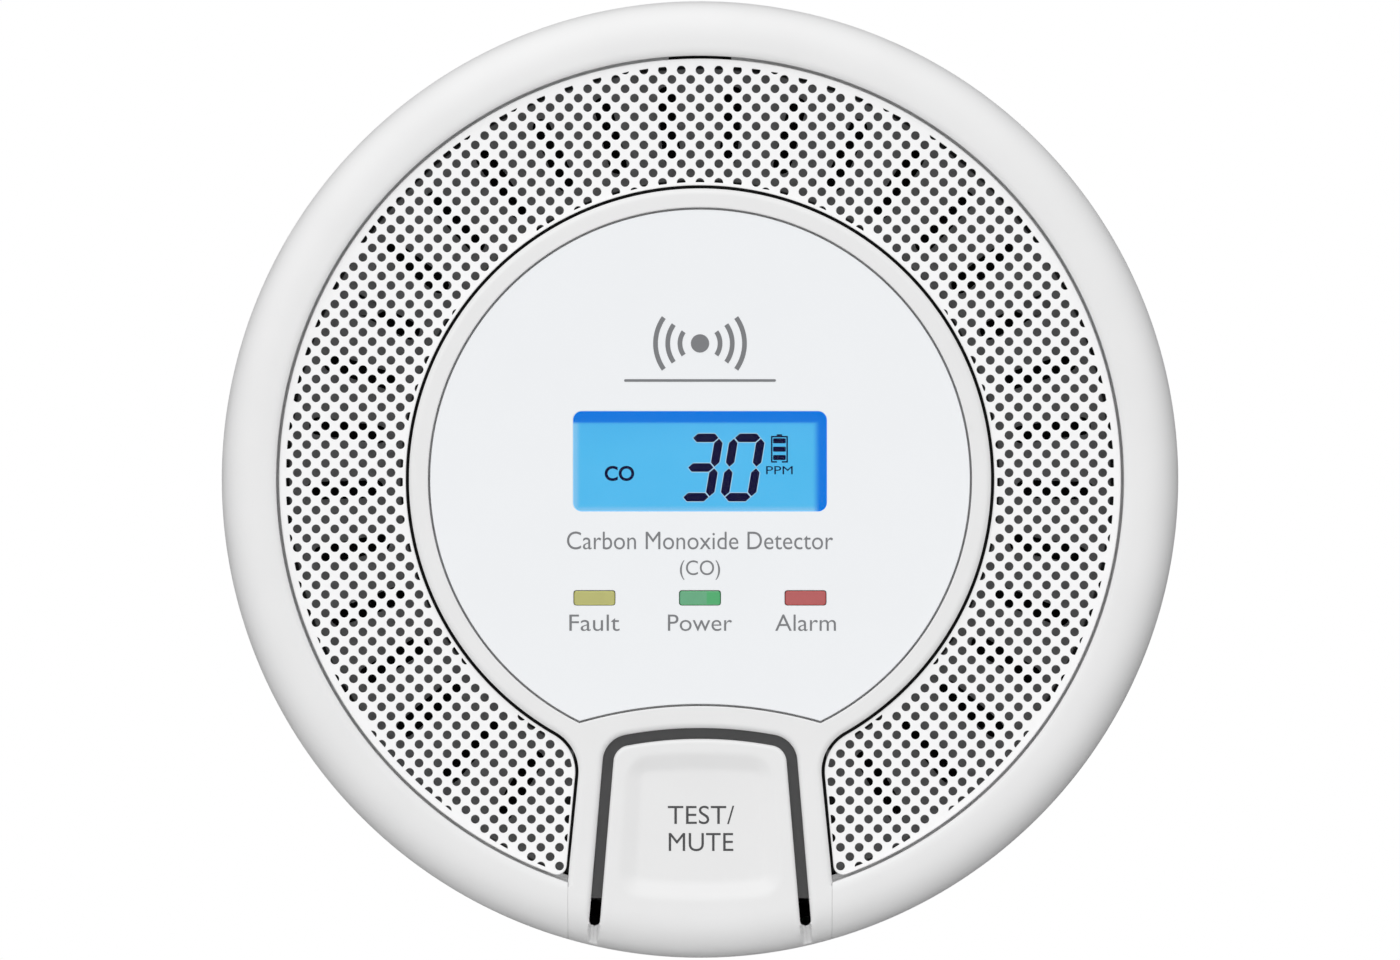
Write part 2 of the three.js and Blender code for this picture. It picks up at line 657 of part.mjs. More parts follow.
function boostInductor() {
  const backFlange = [[0, 20], [4.4, 20], [4.4, 21.2]];
  const waist = [[3.2, 21.6], [3.2, 24]];
  const frontFlange = [[4.4, 24.4], [4.4, 25.4], [0, 25.4]];
  return revolve([...backFlange, ...waist, ...frontFlange], 33, -6, 16);
}

// ---------------------------------------------------------------- battery bay

function battery() {
  const [tail, shoulder, tip] = BATTERY_X;
  const r = BATTERY_R;
  const profile = [[0, tail], [r - 0.5, tail], [r, tail + 0.5], [r, shoulder - 0.5], [r - 0.5, shoulder]];
  return revolveAlongX([...profile, [3.2, shoulder], [3.2, tip - 0.2], [3, tip], [0, tip]], BATTERY_LEVEL, 0);
}

function batteryContact() {
  const x = 19.4;
  return block(x, 0, 0.4, 11, 8, 22.4);
}

function batterySpring() {
  const turns = 3;
  const perTurn = 12;
  const [backX, tipX] = [-19.4, -16.2];
  const points = Array.from({ length: turns * perTurn + 1 }, (_, i) => {
    const share = i / (turns * perTurn);
    const [r, turn] = [5.6 - 2.4 * share, share * turns * 2 * Math.PI];
    const x = backX + 0.3 + (tipX - backX - 0.3) * share;
    return [x, BATTERY_LEVEL + r * Math.cos(turn), r * Math.sin(turn)];
  });
  return block(backX, 0, 0.4, 13, 8, 21).add(wire(points, 0.4, 6, turns * perTurn));
}

function batteryDoor() {
  const barrelR = 1.1;
  const half = 20;
  const panelFoot = DOOR_HINGE_Z;
  const panelTop = DOOR.h / 2;
  const panel = roundedBox(0, (panelTop + panelFoot) / 2, DOOR.w - 2.4, panelTop - panelFoot, 0.9);
  const barrel = [[0, -half - 1.3], [0.6, -half - 1.3], [0.6, -half], [barrelR, -half]];
  const mirrored = barrel.map(([r, x]) => [r, -x]).reverse();
  let solid = plate(panel, DOOR.back, DOOR.front, 2);
  solid = solid.add(revolveAlongX([...barrel, ...mirrored], DOOR_HINGE_LEVEL, DOOR_HINGE_Z, 16));
  for (const z of [3.4, 5, 6.6]) {
    solid = solid.subtract(block(0, z, 9, 0.6, DOOR.back - 1, DOOR.back + 0.4));
  }
  return solid;
}

// ---------------------------------------------------------------- scene

const paint = (color, roughness, metalness = 0) =>
  new THREE.MeshStandardMaterial({ color, roughness, metalness });

const MATERIALS = {
  white: paint(0xededee, 0.45),
  grilleWhite: paint(0xf2f2f2, 0.4, 0.1),
  label: paint(0xeff0f3, 0.35),
  dark: paint(0x4c4c4e, 0.7),
  black: paint(0x18181a, 0.5),
  window: paint(0xbfe3f7, 0.08),
  lcdBlue: paint(0x4fb9f2, 0.3),
  yellow: paint(0xb7b86d, 0.35),
  green: paint(0x4fa574, 0.35),
  red: paint(0xb85a58, 0.35),
  led: paint(0xe8e6da, 0.4),
  pcb: paint(0x1f6b3f, 0.5),
  steel: paint(0xb9bcc0, 0.35, 0.9),
  brass: paint(0xc9a45a, 0.35, 0.9),
  wrap: paint(0x2b4f86, 0.35),
  redWire: paint(0xb5262a, 0.5),
};

const part = new THREE.Group();

function place(group, name, solid, material) {
  const mesh = new THREE.Mesh(geometryOf(solid), MATERIALS[material]);
  mesh.name = name;
  group.add(mesh);
}

const bracket = new THREE.Group();
place(bracket, "mounting_bracket", mountingBracket(), "white");

const alarm = new THREE.Group();
place(alarm, "rear_housing", rearHousing(), "white");
place(alarm, "front_ring", frontRing(), "white");
place(alarm, "bezel_frame", bezelFrame(), "white");
place(alarm, "grille", grille(), "grilleWhite");
place(alarm, "inner_cover", innerCover(), "dark");
place(alarm, "label_panel", labelPanel(), "label");
place(alarm, "lcd_window", lcdWindow(), "window");
place(alarm, "lcd_glass", lcdGlass(), "lcdBlue");
place(alarm, "lcd_backlight", lcdBacklight(), "led");
place(alarm, "lcd_holder", lcdHolder(), "white");
place(alarm, "lcd_zebra_strip", zebraStrip(), "black");
const LIGHTS = [
  ["fault", -LIGHT_PITCH, "yellow"],
  ["power", 0, "green"],
  ["alarm", LIGHT_PITCH, "red"],
];
for (const [name, x, colour] of LIGHTS) {
  place(alarm, `led_lens_${name}`, ledLens(x), colour);
  place(alarm, `led_${name}`, ledChip(x), "led");
}
place(alarm, "main_pcb", mainPcb(), "pcb");
place(alarm, "microcontroller", microcontroller(), "black");
place(alarm, "co_sensor", coSensor(), "steel");
place(alarm, "co_sensor_cap", coSensorCap(), "black");
place(alarm, "buzzer_housing", buzzerHousing(), "black");
place(alarm, "piezo_disc", piezoDisc(), "brass");
place(alarm, "buzzer_back_cap", buzzerBackCap(), "black");
place(alarm, "buzzer_wire_red", buzzerWire(1), "redWire");
place(alarm, "buzzer_wire_black", buzzerWire(-1), "black");
place(alarm, "capacitor_large", capacitor(24, -22, 4, 13.5), "black");
place(alarm, "capacitor_small", capacitor(14, -18, 2.5, 18.5), "black");
place(alarm, "boost_inductor", boostInductor(), "black");
place(alarm, "switch_body", switchBody(), "black");
place(alarm, "battery", battery(), "wrap");
place(alarm, "battery_contact", batteryContact(), "steel");
place(alarm, "battery_spring", batterySpring(), "steel");
POST_ANGLES_DEG.forEach((_, i) => place(alarm, `housing_screw_${i + 1}`, housingScrew(i), "steel"));

const moving = new THREE.Group();
place(moving, "test_button", testButton(), "white");
place(moving, "switch_plunger", switchPlunger(), "black");
place(moving, "battery_door", batteryDoor(), "white");

part.add(bracket, alarm, moving);

export default part;
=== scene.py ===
"""The looks of a round carbon monoxide alarm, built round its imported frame.

Shapes are worked out in millimetres as (x, z, level): x and z as seen from the front, and level
the distance out from the wall. The wall is the plane y = 0 and the face looks along -Y.
"""

import math

import bmesh
import bpy
import numpy as np
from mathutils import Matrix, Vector
from mathutils.geometry import delaunay_2d_cdt


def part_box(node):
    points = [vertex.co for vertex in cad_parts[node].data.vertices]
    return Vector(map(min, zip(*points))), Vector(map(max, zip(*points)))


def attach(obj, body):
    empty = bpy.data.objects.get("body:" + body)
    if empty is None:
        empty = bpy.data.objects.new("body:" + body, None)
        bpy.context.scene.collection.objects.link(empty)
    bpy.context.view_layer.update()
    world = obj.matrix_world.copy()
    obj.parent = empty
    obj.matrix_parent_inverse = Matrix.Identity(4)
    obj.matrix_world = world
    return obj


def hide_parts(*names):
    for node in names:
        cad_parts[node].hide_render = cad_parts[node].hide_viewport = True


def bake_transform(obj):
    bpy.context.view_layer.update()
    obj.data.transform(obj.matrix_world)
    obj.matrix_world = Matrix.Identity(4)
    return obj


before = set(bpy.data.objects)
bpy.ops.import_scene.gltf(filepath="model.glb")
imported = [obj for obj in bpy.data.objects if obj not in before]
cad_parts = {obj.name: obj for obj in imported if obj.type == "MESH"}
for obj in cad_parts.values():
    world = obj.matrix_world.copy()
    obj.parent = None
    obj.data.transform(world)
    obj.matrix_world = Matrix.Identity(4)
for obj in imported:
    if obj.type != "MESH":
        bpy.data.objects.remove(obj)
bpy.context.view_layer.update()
MM = 0.001

# ---------------------------------------------------------------- sizes


def front_of(node):
    """The level of a node's front."""
    return -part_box(node)[0].y / MM


def back_of(node):
    return -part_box(node)[1].y / MM


def half_width(node):
    low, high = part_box(node)
    return (high.x - low.x) / 2 / MM


def middle(node):
    """A node's middle as (x, z, level)."""
    low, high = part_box(node)
    centre = (low + high) / 2 / MM
    return centre.x, centre.z, -centre.y


BODY_R = half_width("front_ring")
FRONT = front_of("bezel_frame")
PARTING = back_of("front_ring")
FOOT_BACK = back_of("bezel_frame")
SEAM = 0.015  # width of a seam between two pieces of the case
WALL = 2

# Rim of the front ring.
CREST_R = 49.6  # flat inside this radius, rounded over outside it
RIM_DROP = 6.5
RIM_POWER = 2.7  # 2 would be an ellipse; more is squarer
RIM_INNER_R = 48.62
RIM_INNER_DROP = 0.45
GRILLE_FRONT = front_of("grille")
LEDGE_FRONT = back_of("grille") - 0.6
LEDGE_R = 47.9
DRAFT = 0.9  # how far the side draws in towards the parting
SIDE_SHARE = 0.66  # the foot is this much thinner where it wraps over the side

# Keyhole-shaped bezel.
BEZEL_R = 33.37
BEZEL_BACK = 32.2
NECK_HALF = 10.755
NECK_FLARE = 0.094
NECK_FILLET = 5.2
FOOT_HALF = 15.15
FOOT_TOP_Z = -46

# Label, and the arc that its foot shares with the button.
LABEL_R = half_width("label_panel")
LABEL_FRONT = front_of("label_panel")
LABEL_THICK = LABEL_FRONT - back_of("label_panel")
LABEL_MARGIN = 0.24
LABEL_FLOOR = 33.3
ARC_CENTRE_Z = -75.5
LABEL_ARC_R = 49.76

# Test button in its slot.
SLOT_ARC_R = 47
SLOT_HALF = 8.45
SLOT_FLARE = 0.0844
SLOT_CORNER = 3.2
SLOT_WIDTH = 1.25
SLOT_END_Z = -50.58
SEAM_HALF = 0.008  # half the joint between the button's root and the bezel
FOOT_END_Z = -57.5  # below this the rolled-out foot is at its back edge

# Groove that carries the slot on down the rim.
GROOVE_HALF = 0.66
GROOVE_FLOOR_HALF = 0.4
GROOVE_TOP = 51.15
GROOVE_DROP = 2.5
GROOVE_SLOPE = 0.4
GROOVE_START = (-0.25, 0.05)  # it begins between these places down from its top
GROOVE_SHIFTS = (-0.75, -0.6, -0.45, -0.3, -0.15, 0.15, 0.3, 0.45, 0.6, 0.75)
GROOVE_RINGS = (0.76, 0.92, 1.1, 1.35)

# Finger dish of the button.
DISH_DEEP = 0.6
DISH_TOP = -31.2
DISH_FOOT = -48.3
DISH_HALF = 8.42  # half width at its top
DISH_FLARE = 0.073
DISH_CORNER = 2.6
DISH_SIDE = 2.2  # width of its sloping sides
DISH_EASE = 0.14  # share of a side that curves into the flat, at either end
DISH_BOW = 130  # the larger, the straighter its top and foot

# Shares of an edge's full rounding.
SEAM_SHARE = 0.02  # at the joint beside the button's root
FOOT_SIDE_SHARE = 0.1
END_SHARE = 0.3  # at the foot's back edge
POINT_GAP = 0.32  # inner points stay this far from a rounded edge

# Perforated grille.
SHADOW_GAP = 0.38
GRILLE_INNER_R = BEZEL_R + SHADOW_GAP
GRILLE_OUTER_R = 48.27
GRILLE_CORNER = 1.1
SHEET = 0.75  # thickness of the perforated sheet
HOLE_R = 0.51
HOLE_ROW = 1.0741  # rows are this far apart, and so are the columns, with every other place left out
HOLE_TOP_Z = 46.96

# Inner cover, seen through the grille.
COVER_R = 47.7
COVER_FOOT = -48.1
VENT_COUNT = 16
VENT_FIRST = 5.0  # degrees from straight up
VENT_STEP = 9.63
VENT_INNER_R = 36.3
VENT_OUTER_R = 45.3
VENT_HALF = 1.02
SWITCH_Z = middle("switch_plunger")[1]
POST_R = 44
POST_ANGLES = (30, 150, 270)

# Display and lights.
LCD_X, LCD_Z, _ = middle("lcd_window")
LCD_W = 2 * half_width("lcd_window") + 0.3
LCD_H = 11.5
LIGHT_Z = middle("led_lens_power")[1]
LIGHT_X = {name: middle("led_lens_" + name)[0] for name in ("fault", "power", "alarm")}
LIGHT = (4.8, 1.74, 0.3)

# ---------------------------------------------------------------- outlines


def arc(x, z, r, start, end, step=0.5):
    """Points along an arc, from one angle to another, about a step apart."""
    count = max(3, math.ceil(abs(end - start) * r / step))
    angles = np.linspace(start, end, count + 1)
    return np.column_stack([x + r * np.cos(angles), z + r * np.sin(angles)])


def line(start, end, step=0.5):
    start, end = np.array(start, float), np.array(end, float)
    count = max(1, math.ceil(np.linalg.norm(end - start) / step))
    return start + (end - start) * np.linspace(0, 1, count + 1)[:, None]


def joined(*runs):
    """Runs of points as one run, without doubled points."""
    points = np.vstack(runs)
    keep = np.linalg.norm(points - np.roll(points, 1, 0), axis=1) > 1e-3
    return points[keep]


def mirrored(half):
    """A closed loop from its left half, which starts and ends on the middle line."""
    return np.vstack([half, half[-2:0:-1] * (-1, 1)])


def rounded_box(x, z, w, h, r, step=0.25):
    """An anticlockwise box with round corners, from its middle, width and height."""
    a, b, quarter = w / 2 - r, h / 2 - r, math.pi / 2
    corners = [(x + a, z + b, 0), (x - a, z + b, 1), (x - a, z - b, 2), (x + a, z - b, 3)]
    return joined(*(arc(cx, cz, r, k * quarter, (k + 1) * quarter, step) for cx, cz, k in corners))


def offset(points, distance):
    """A closed loop moved to the left of its own direction."""
    ahead = np.roll(points, -1, 0) - points
    ahead = ahead / np.linalg.norm(ahead, axis=1, keepdims=True)
    left = np.column_stack([-ahead[:, 1], ahead[:, 0]])
    before = np.roll(left, 1, 0)
    turn = 1 + (left * before).sum(1, keepdims=True)
    return points + np.reshape(distance, (-1, 1)) * (left + before) / np.maximum(turn, 0.4)


def meet(half, flare, shift, centre_z, r, upper=False):
    """Where the line x = half - flare z, moved out by shift, meets a circle about (0, centre_z)."""
    k = half + shift * math.hypot(1, flare)
    a = 1 + flare * flare
    b = k * flare + centre_z
    root = np.sqrt(b * b - a * (k * k + centre_z * centre_z - r * r))
    z = (b + (root if upper else -root)) / a
    return k - flare * z, z


def smooth(low, high, value):
    """0 below low, 1 above high, and a smooth step between."""
    t = np.clip((value - low) / (high - low), 0, 1)
    return t * t * (3 - 2 * t)


def inside(points, loop):
    """Which points lie within a closed loop."""
    x, z = points[:, :1], points[:, 1:]
    (ax, az), (bx, bz) = loop.T, np.roll(loop, -1, 0).T
    spans = (az > z) != (bz > z)
    with np.errstate(divide="ignore", invalid="ignore"):
        crossing = ax + (z - az) * (bx - ax) / (bz - az)
    return (spans & (x < crossing)).sum(1) % 2 == 1


def nearest_on(points, loop):
    """The nearest place on a closed loop to each point, and how far it is."""
    start = loop
    along = np.roll(loop, -1, 0) - loop
    share = ((points[:, None] - start) * along).sum(2) / (along * along).sum(1)
    place = start + np.clip(share, 0, 1)[:, :, None] * along
    gap = np.linalg.norm(points[:, None] - place, axis=2)
    best = gap.argmin(1)
    rows = np.arange(len(points))
    return place[rows, best], gap[rows, best]


# ---------------------------------------------------------------- the rim


def rim_curve():
    """Distance past the crest along the rim, with the radius, level and outward normal there."""
    turn = np.linspace(0, math.pi / 2, 120)
    r = CREST_R + (BODY_R - CREST_R) * np.sin(turn) ** (2 / RIM_POWER)
    level = FRONT - RIM_DROP + RIM_DROP * np.abs(np.cos(turn)) ** (2 / RIM_POWER)
    down = np.linspace(0, level[-1] - PARTING, 40)[1:]
    r = np.append(r, BODY_R - DRAFT * (down / down[-1]) ** 2)
    level = np.append(level, level[-1] - down)
    past = np.append(0, np.cumsum(np.hypot(np.diff(r), np.diff(level))))
    even = np.linspace(0, past[-1], 100)
    r, level = np.interp(even, past, r), np.interp(even, past, level)
    slope = np.gradient(np.column_stack([r, level]), even, axis=0)
    slope /= np.linalg.norm(slope, axis=1, keepdims=True)
    slope[0] = (1, 0)
    return even, r, level, -slope[:, 1], slope[:, 0]


PAST, RIM_R, RIM_LEVEL, RIM_OUT, RIM_UP = rim_curve()
WIDEST = int(RIM_R.argmax())
FOOT_PAST = float(np.interp(-FOOT_BACK, -RIM_LEVEL, PAST))


def unrolled(points):
    """Places seen from the front, in the plane in which the rim is rolled out flat."""
    r = np.hypot(*points.T)
    past = np.interp(r, RIM_R[: WIDEST + 1], PAST[: WIDEST + 1])
    return points * np.where(r > CREST_R, (CREST_R + past) / r, 1)[:, None]


def rim_line(half, flare, shift=0.0, first=0.0, last=FOOT_PAST, step=0.4):
    """A side line of the foot or the button, from the crest down the rim, rolled out flat."""
    past = np.linspace(first, last, max(2, math.ceil((last - first) / step)) + 1)
    r = np.interp(past, PAST, RIM_R)
    x, z = meet(half, flare, shift, 0, r)
    return np.column_stack([x, z]) * ((CREST_R + past) / r)[:, None]


def on_face(points, drop, sunk=0.0):
    """Rolled-out places put back on the face and the rim. The drop goes straight back from the
    surface, and square to it where the rim is steep; sunk always goes straight back."""
    rho = np.maximum(np.hypot(*points.T), 1e-9)
    past = rho - CREST_R
    out, up = np.interp(past, PAST, RIM_OUT), np.interp(past, PAST, RIM_UP)
    steep = smooth(0.7, 0.98, out)
    inward = SIDE_SHARE * drop * steep
    r = np.interp(past, PAST, RIM_R) - inward * out
    level = np.interp(past, PAST, RIM_LEVEL) - drop * (1 - steep) - inward * up
    r = np.where(past > 0, r, rho)
    level = np.where(past > 0, level, FRONT - drop)
    return np.column_stack([points * (r / rho)[:, None], level - sunk])


def at_level(level):
    """Puts flat places at one level."""
    return lambda points, drop: np.column_stack([points, level - np.broadcast_to(drop, len(points))])


# ---------------------------------------------------------------- meshes


def mesh_object(name, places, faces):
    """A mesh object from places of (x, z, level) in millimetres."""
    data = bpy.data.meshes.new(name)
    metres = np.asarray(places, float)[:, [0, 2, 1]] * (MM, -MM, MM)
    data.from_pydata(metres.tolist(), [], faces)
    data.update()
    piece = bpy.data.objects.new(name, data)
    bpy.context.scene.collection.objects.link(piece)
    return shaded(piece)


def shaded(piece, sharp=38):
    """Smooth shading, with edges sharper than an angle kept crisp."""
    piece.data.shade_smooth()
    piece.data.set_sharp_from_angle(angle=math.radians(sharp))
    return piece


def closed_up(piece, sharp=38):
    """Merges doubled vertices and turns every face outwards."""
    work = bmesh.new()
    work.from_mesh(piece.data)
    bmesh.ops.remove_doubles(work, verts=work.verts, dist=1e-7)
    bmesh.ops.dissolve_degenerate(work, dist=1e-8, edges=work.edges)
    bmesh.ops.recalc_face_normals(work, faces=work.faces)
    work.to_mesh(piece.data)
    work.free()
    return shaded(piece, sharp)


def sides_of(triangle):
    a, b, c = triangle
    return frozenset((a, b)), frozenset((b, c)), frozenset((c, a))


def triangulated(loops, extra):
    """Triangles of the area between closed loops, and all its points, the loops' own first.
    The area is found from outside inwards: each loop that is crossed turns it on or off."""
    points = np.vstack([*loops, np.reshape(extra, (-1, 2))])
    edges, first = [], 0
    for loop in loops:
        count = len(loop)
        edges += [(first + i, first + (i + 1) % count) for i in range(count)]
        first += count
    made = delaunay_2d_cdt([Vector(p) for p in points], edges, [], 0, 1e-7)
    source = [origins[0] for origins in made[3]]
    triangles = [tuple(source[i] for i in face) for face in made[2]]
    walls = {frozenset(edge) for edge in edges}
    beside = {}
    for index, triangle in enumerate(triangles):
        for edge in sides_of(triangle):
            beside.setdefault(edge, []).append(index)
    material = {}
    for edge, found in beside.items():
        if len(found) == 1:
            material[found[0]] = edge in walls
    waiting = list(material)
    while waiting:
        index = waiting.pop()
        for edge in sides_of(triangles[index]):
            for other in beside[edge]:
                if other not in material:
                    material[other] = material[index] != (edge in walls)
                    waiting.append(other)
    return points, [t for i, t in enumerate(triangles) if material[i]]


def round_edge(r, steps=5, lead=0.12):
    """An edge rounded to a radius, as (inset, drop) from the face to the wall."""
    turns = [k / steps * math.pi / 2 for k in range(steps + 1)]
    return [(r + lead, 0)] + [(r * (1 - math.sin(t)), r * (1 - math.cos(t))) for t in turns]


def shell(name, loops, surface, thick, extra=(), back_r=0.0):
    """A closed sheet within loops, given as (points, edge profile, weights). A weight scales the
    profile at each point of its loop."""
    places, faces, rows, used = [], [], [], 0
    back = [(back_r, thick)] if not back_r else [(0, thick - back_r), (back_r, thick)]
    for points, profile, weight in loops:
        rings = []
        weight = np.broadcast_to(weight, len(points))
        for inset, drop in profile:
            rings.append((offset(points, inset * weight), drop * weight))
        for inset, drop in back:
            rings.append((offset(points, np.full(len(points), inset)), np.full(len(points), drop)))
        rows.append(rings)
    for rings in rows:
        count = len(rings[0][0])
        for index, (flat, drop) in enumerate(rings):
            places.append(surface(flat, drop))
            if index:
                a, b = used + (index - 1) * count, used + index * count
                for i in range(count):
                    j = (i + 1) % count
                    faces.append((a + i, b + i, b + j, a + j))
        used += count * len(rings)
    extra = np.reshape(extra, (-1, 2))
    for ring, drop, flip in ((0, 0, False), (-1, thick, True)):
        flats = [rings[ring][0] for rings in rows]
        points, triangles = triangulated(flats, extra)
        lookup, first = [], 0
        for rings in rows:
            count = len(rings[0][0])
            start = first + (ring % len(rings)) * count
            lookup += range(start, start + count)
            first += count * len(rings)
        lookup += range(used, used + len(extra))
        used += len(extra)
        if len(extra):
            places.append(surface(extra, np.full(len(extra), float(drop))))
        for triangle in triangles:
            corners = tuple(lookup[i] for i in triangle)
            faces.append(corners[::-1] if flip else corners)
    return mesh_object(name, np.vstack(places), faces)


FLAT_EDGE = [(0, 0)]


def with_holes(outline, edge, holes, hole_edge):
    """The loops of a sheet with holes, each with its edge profile."""
    return [(outline, edge, 1)] + [(hole[::-1], hole_edge, 1) for hole in holes]


def clear_of(points, loops, gap):
    """The points inside the first loop, outside the others, and no nearer to any than a gap."""
    keep = inside(points, loops[0])
    for loop in loops[1:]:
        keep &= ~inside(points, loop)
    for loop in loops:
        near = np.flatnonzero(keep)
        keep[near] = nearest_on(points[near], loop)[1] > gap
    return points[keep]


def grid(x, z, half_x, half_z, step):
    """A staggered grid of points about a middle."""
    columns = np.arange(-half_x, half_x + step / 2, step)
    rows = np.arange(-half_z, half_z + step / 2, step)
    gx, gz = np.meshgrid(columns, rows)
    gx[1::2] += step / 2
    return np.column_stack([x + gx.ravel(), z + gz.ravel()])


def softened(profile, r, steps=3):
    """A closed profile with its corners rounded, except on the axis."""
    profile = np.array(profile, float)
    out = []
    for before, corner, after in zip(np.roll(profile, 1, 0), profile, np.roll(profile, -1, 0)):
        into, away = before - corner, after - corner
        reach = min(r, 0.4 * np.linalg.norm(into), 0.4 * np.linalg.norm(away))
        if corner[0] < 1e-6 or reach < 1e-3:
            out.append(corner)
            continue
        start = corner + into / np.linalg.norm(into) * reach
        end = corner + away / np.linalg.norm(away) * reach
        for t in np.linspace(0, 1, steps + 1):
            out.append((1 - t) ** 2 * start + 2 * t * (1 - t) * corner + t * t * end)
    return np.array(out)


def lathe(name, profile, x=0.0, z=0.0, segments=96):
    """A closed profile of (radius, level) turned about the wall's normal at (x, z)."""
    return spun(name, profile, segments, lambda side, up, level: (x + side, z + up, level))


def lathe_along_x(name, profile, z, level, segments):
    """A closed profile of (radius, x) turned about an axis along X."""
    return spun(name, profile, segments, lambda out, up, x: (x, z + up, level + out))


def spun(name, profile, segments, placed):
    """A closed profile of (radius, height) turned about an axis. placed gives the (x, z, level)
    of two distances from the axis, square to each other, and a height."""
    r, height = np.asarray(profile, float).T
    angles = np.arange(segments) * 2 * math.pi / segments
    across = [np.outer(part, r).ravel() for part in (np.cos(angles), np.sin(angles))]
    places = np.column_stack(placed(*across, np.tile(height, segments)))
    count = len(r)
    faces = []
    for s in range(segments):
        a, b = s * count, (s + 1) % segments * count
        for i in range(count):
            j = (i + 1) % count
            faces.append((a + i, a + j, b + j, b + i))
    return closed_up(mesh_object(name, places, faces))


def tube(name, points, r, sides=12):
    """A round wire along places of (x, z, level)."""
    points = np.asarray(points, float)
    ahead = np.gradient(points, axis=0)
    ahead /= np.linalg.norm(ahead, axis=1, keepdims=True)
    side = np.cross(ahead[0], (0.31, 0.52, 0.79))
    places, faces = [], []
    for place, direction in zip(points, ahead):
        side = side - direction * (side @ direction)
        side /= np.linalg.norm(side)
        other = np.cross(direction, side)
        for k in range(sides):
            turn = 2 * math.pi * k / sides
            places.append(place + r * (math.cos(turn) * side + math.sin(turn) * other))
    for s in range(len(points) - 1):
        for k in range(sides):
            a, b = s * sides, (s + 1) * sides
            j = (k + 1) % sides
            faces.append((a + k, a + j, b + j, b + k))
    last = (len(points) - 1) * sides
    faces.append(tuple(range(sides))[::-1])
    faces.append(tuple(range(last, last + sides)))
    return closed_up(mesh_object(name, places, faces), 50)


def block(name, x, z, w, h, back, front, r=0.2, corner=0.3):
    """A block with rounded corners and edges, from its middle, width, height and levels."""
    outline = rounded_box(x, z, w, h, max(corner, r + 0.02))
    return shell(name, [(outline, round_edge(r, 3, 0.0), 1)], at_level(front), front - back, back_r=r * 0.6)


def combined(piece, other, operation):
    """Changes a piece by another, which is used up."""
    modifier = piece.modifiers.new("combine", "BOOLEAN")
    modifier.operation = operation
    modifier.solver = "EXACT"
    modifier.object = other
    bpy.context.view_layer.update()
    made = bpy.data.meshes.new_from_object(piece.evaluated_get(bpy.context.evaluated_depsgraph_get()))
    piece.modifiers.clear()
    piece.data = made
    bpy.data.objects.remove(other)
    shaded(piece)


def add(piece, other):
    combined(piece, other, "UNION")


def cut(piece, other):
    combined(piece, other, "DIFFERENCE")


def together(name, pieces):
    """Several closed meshes as one object."""
    work = bmesh.new()
    for piece in pieces:
        work.from_mesh(piece.data)
    data = bpy.data.meshes.new(name)
    work.to_mesh(data)
    work.free()
    for piece in pieces:
        bpy.data.objects.remove(piece)
    made = bpy.data.objects.new(name, data)
    bpy.context.scene.collection.objects.link(made)
    return shaded(made)


def fitted(piece, body, material, slot, *nodes):
    """Gives a piece its material and body, and hides the frame nodes that it stands for."""
    piece.data.materials.clear()
    piece.data.materials.append(material)
    if body:
        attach(piece, body)
    if nodes:
        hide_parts(*nodes)
    return piece


# ---------------------------------------------------------------- materials


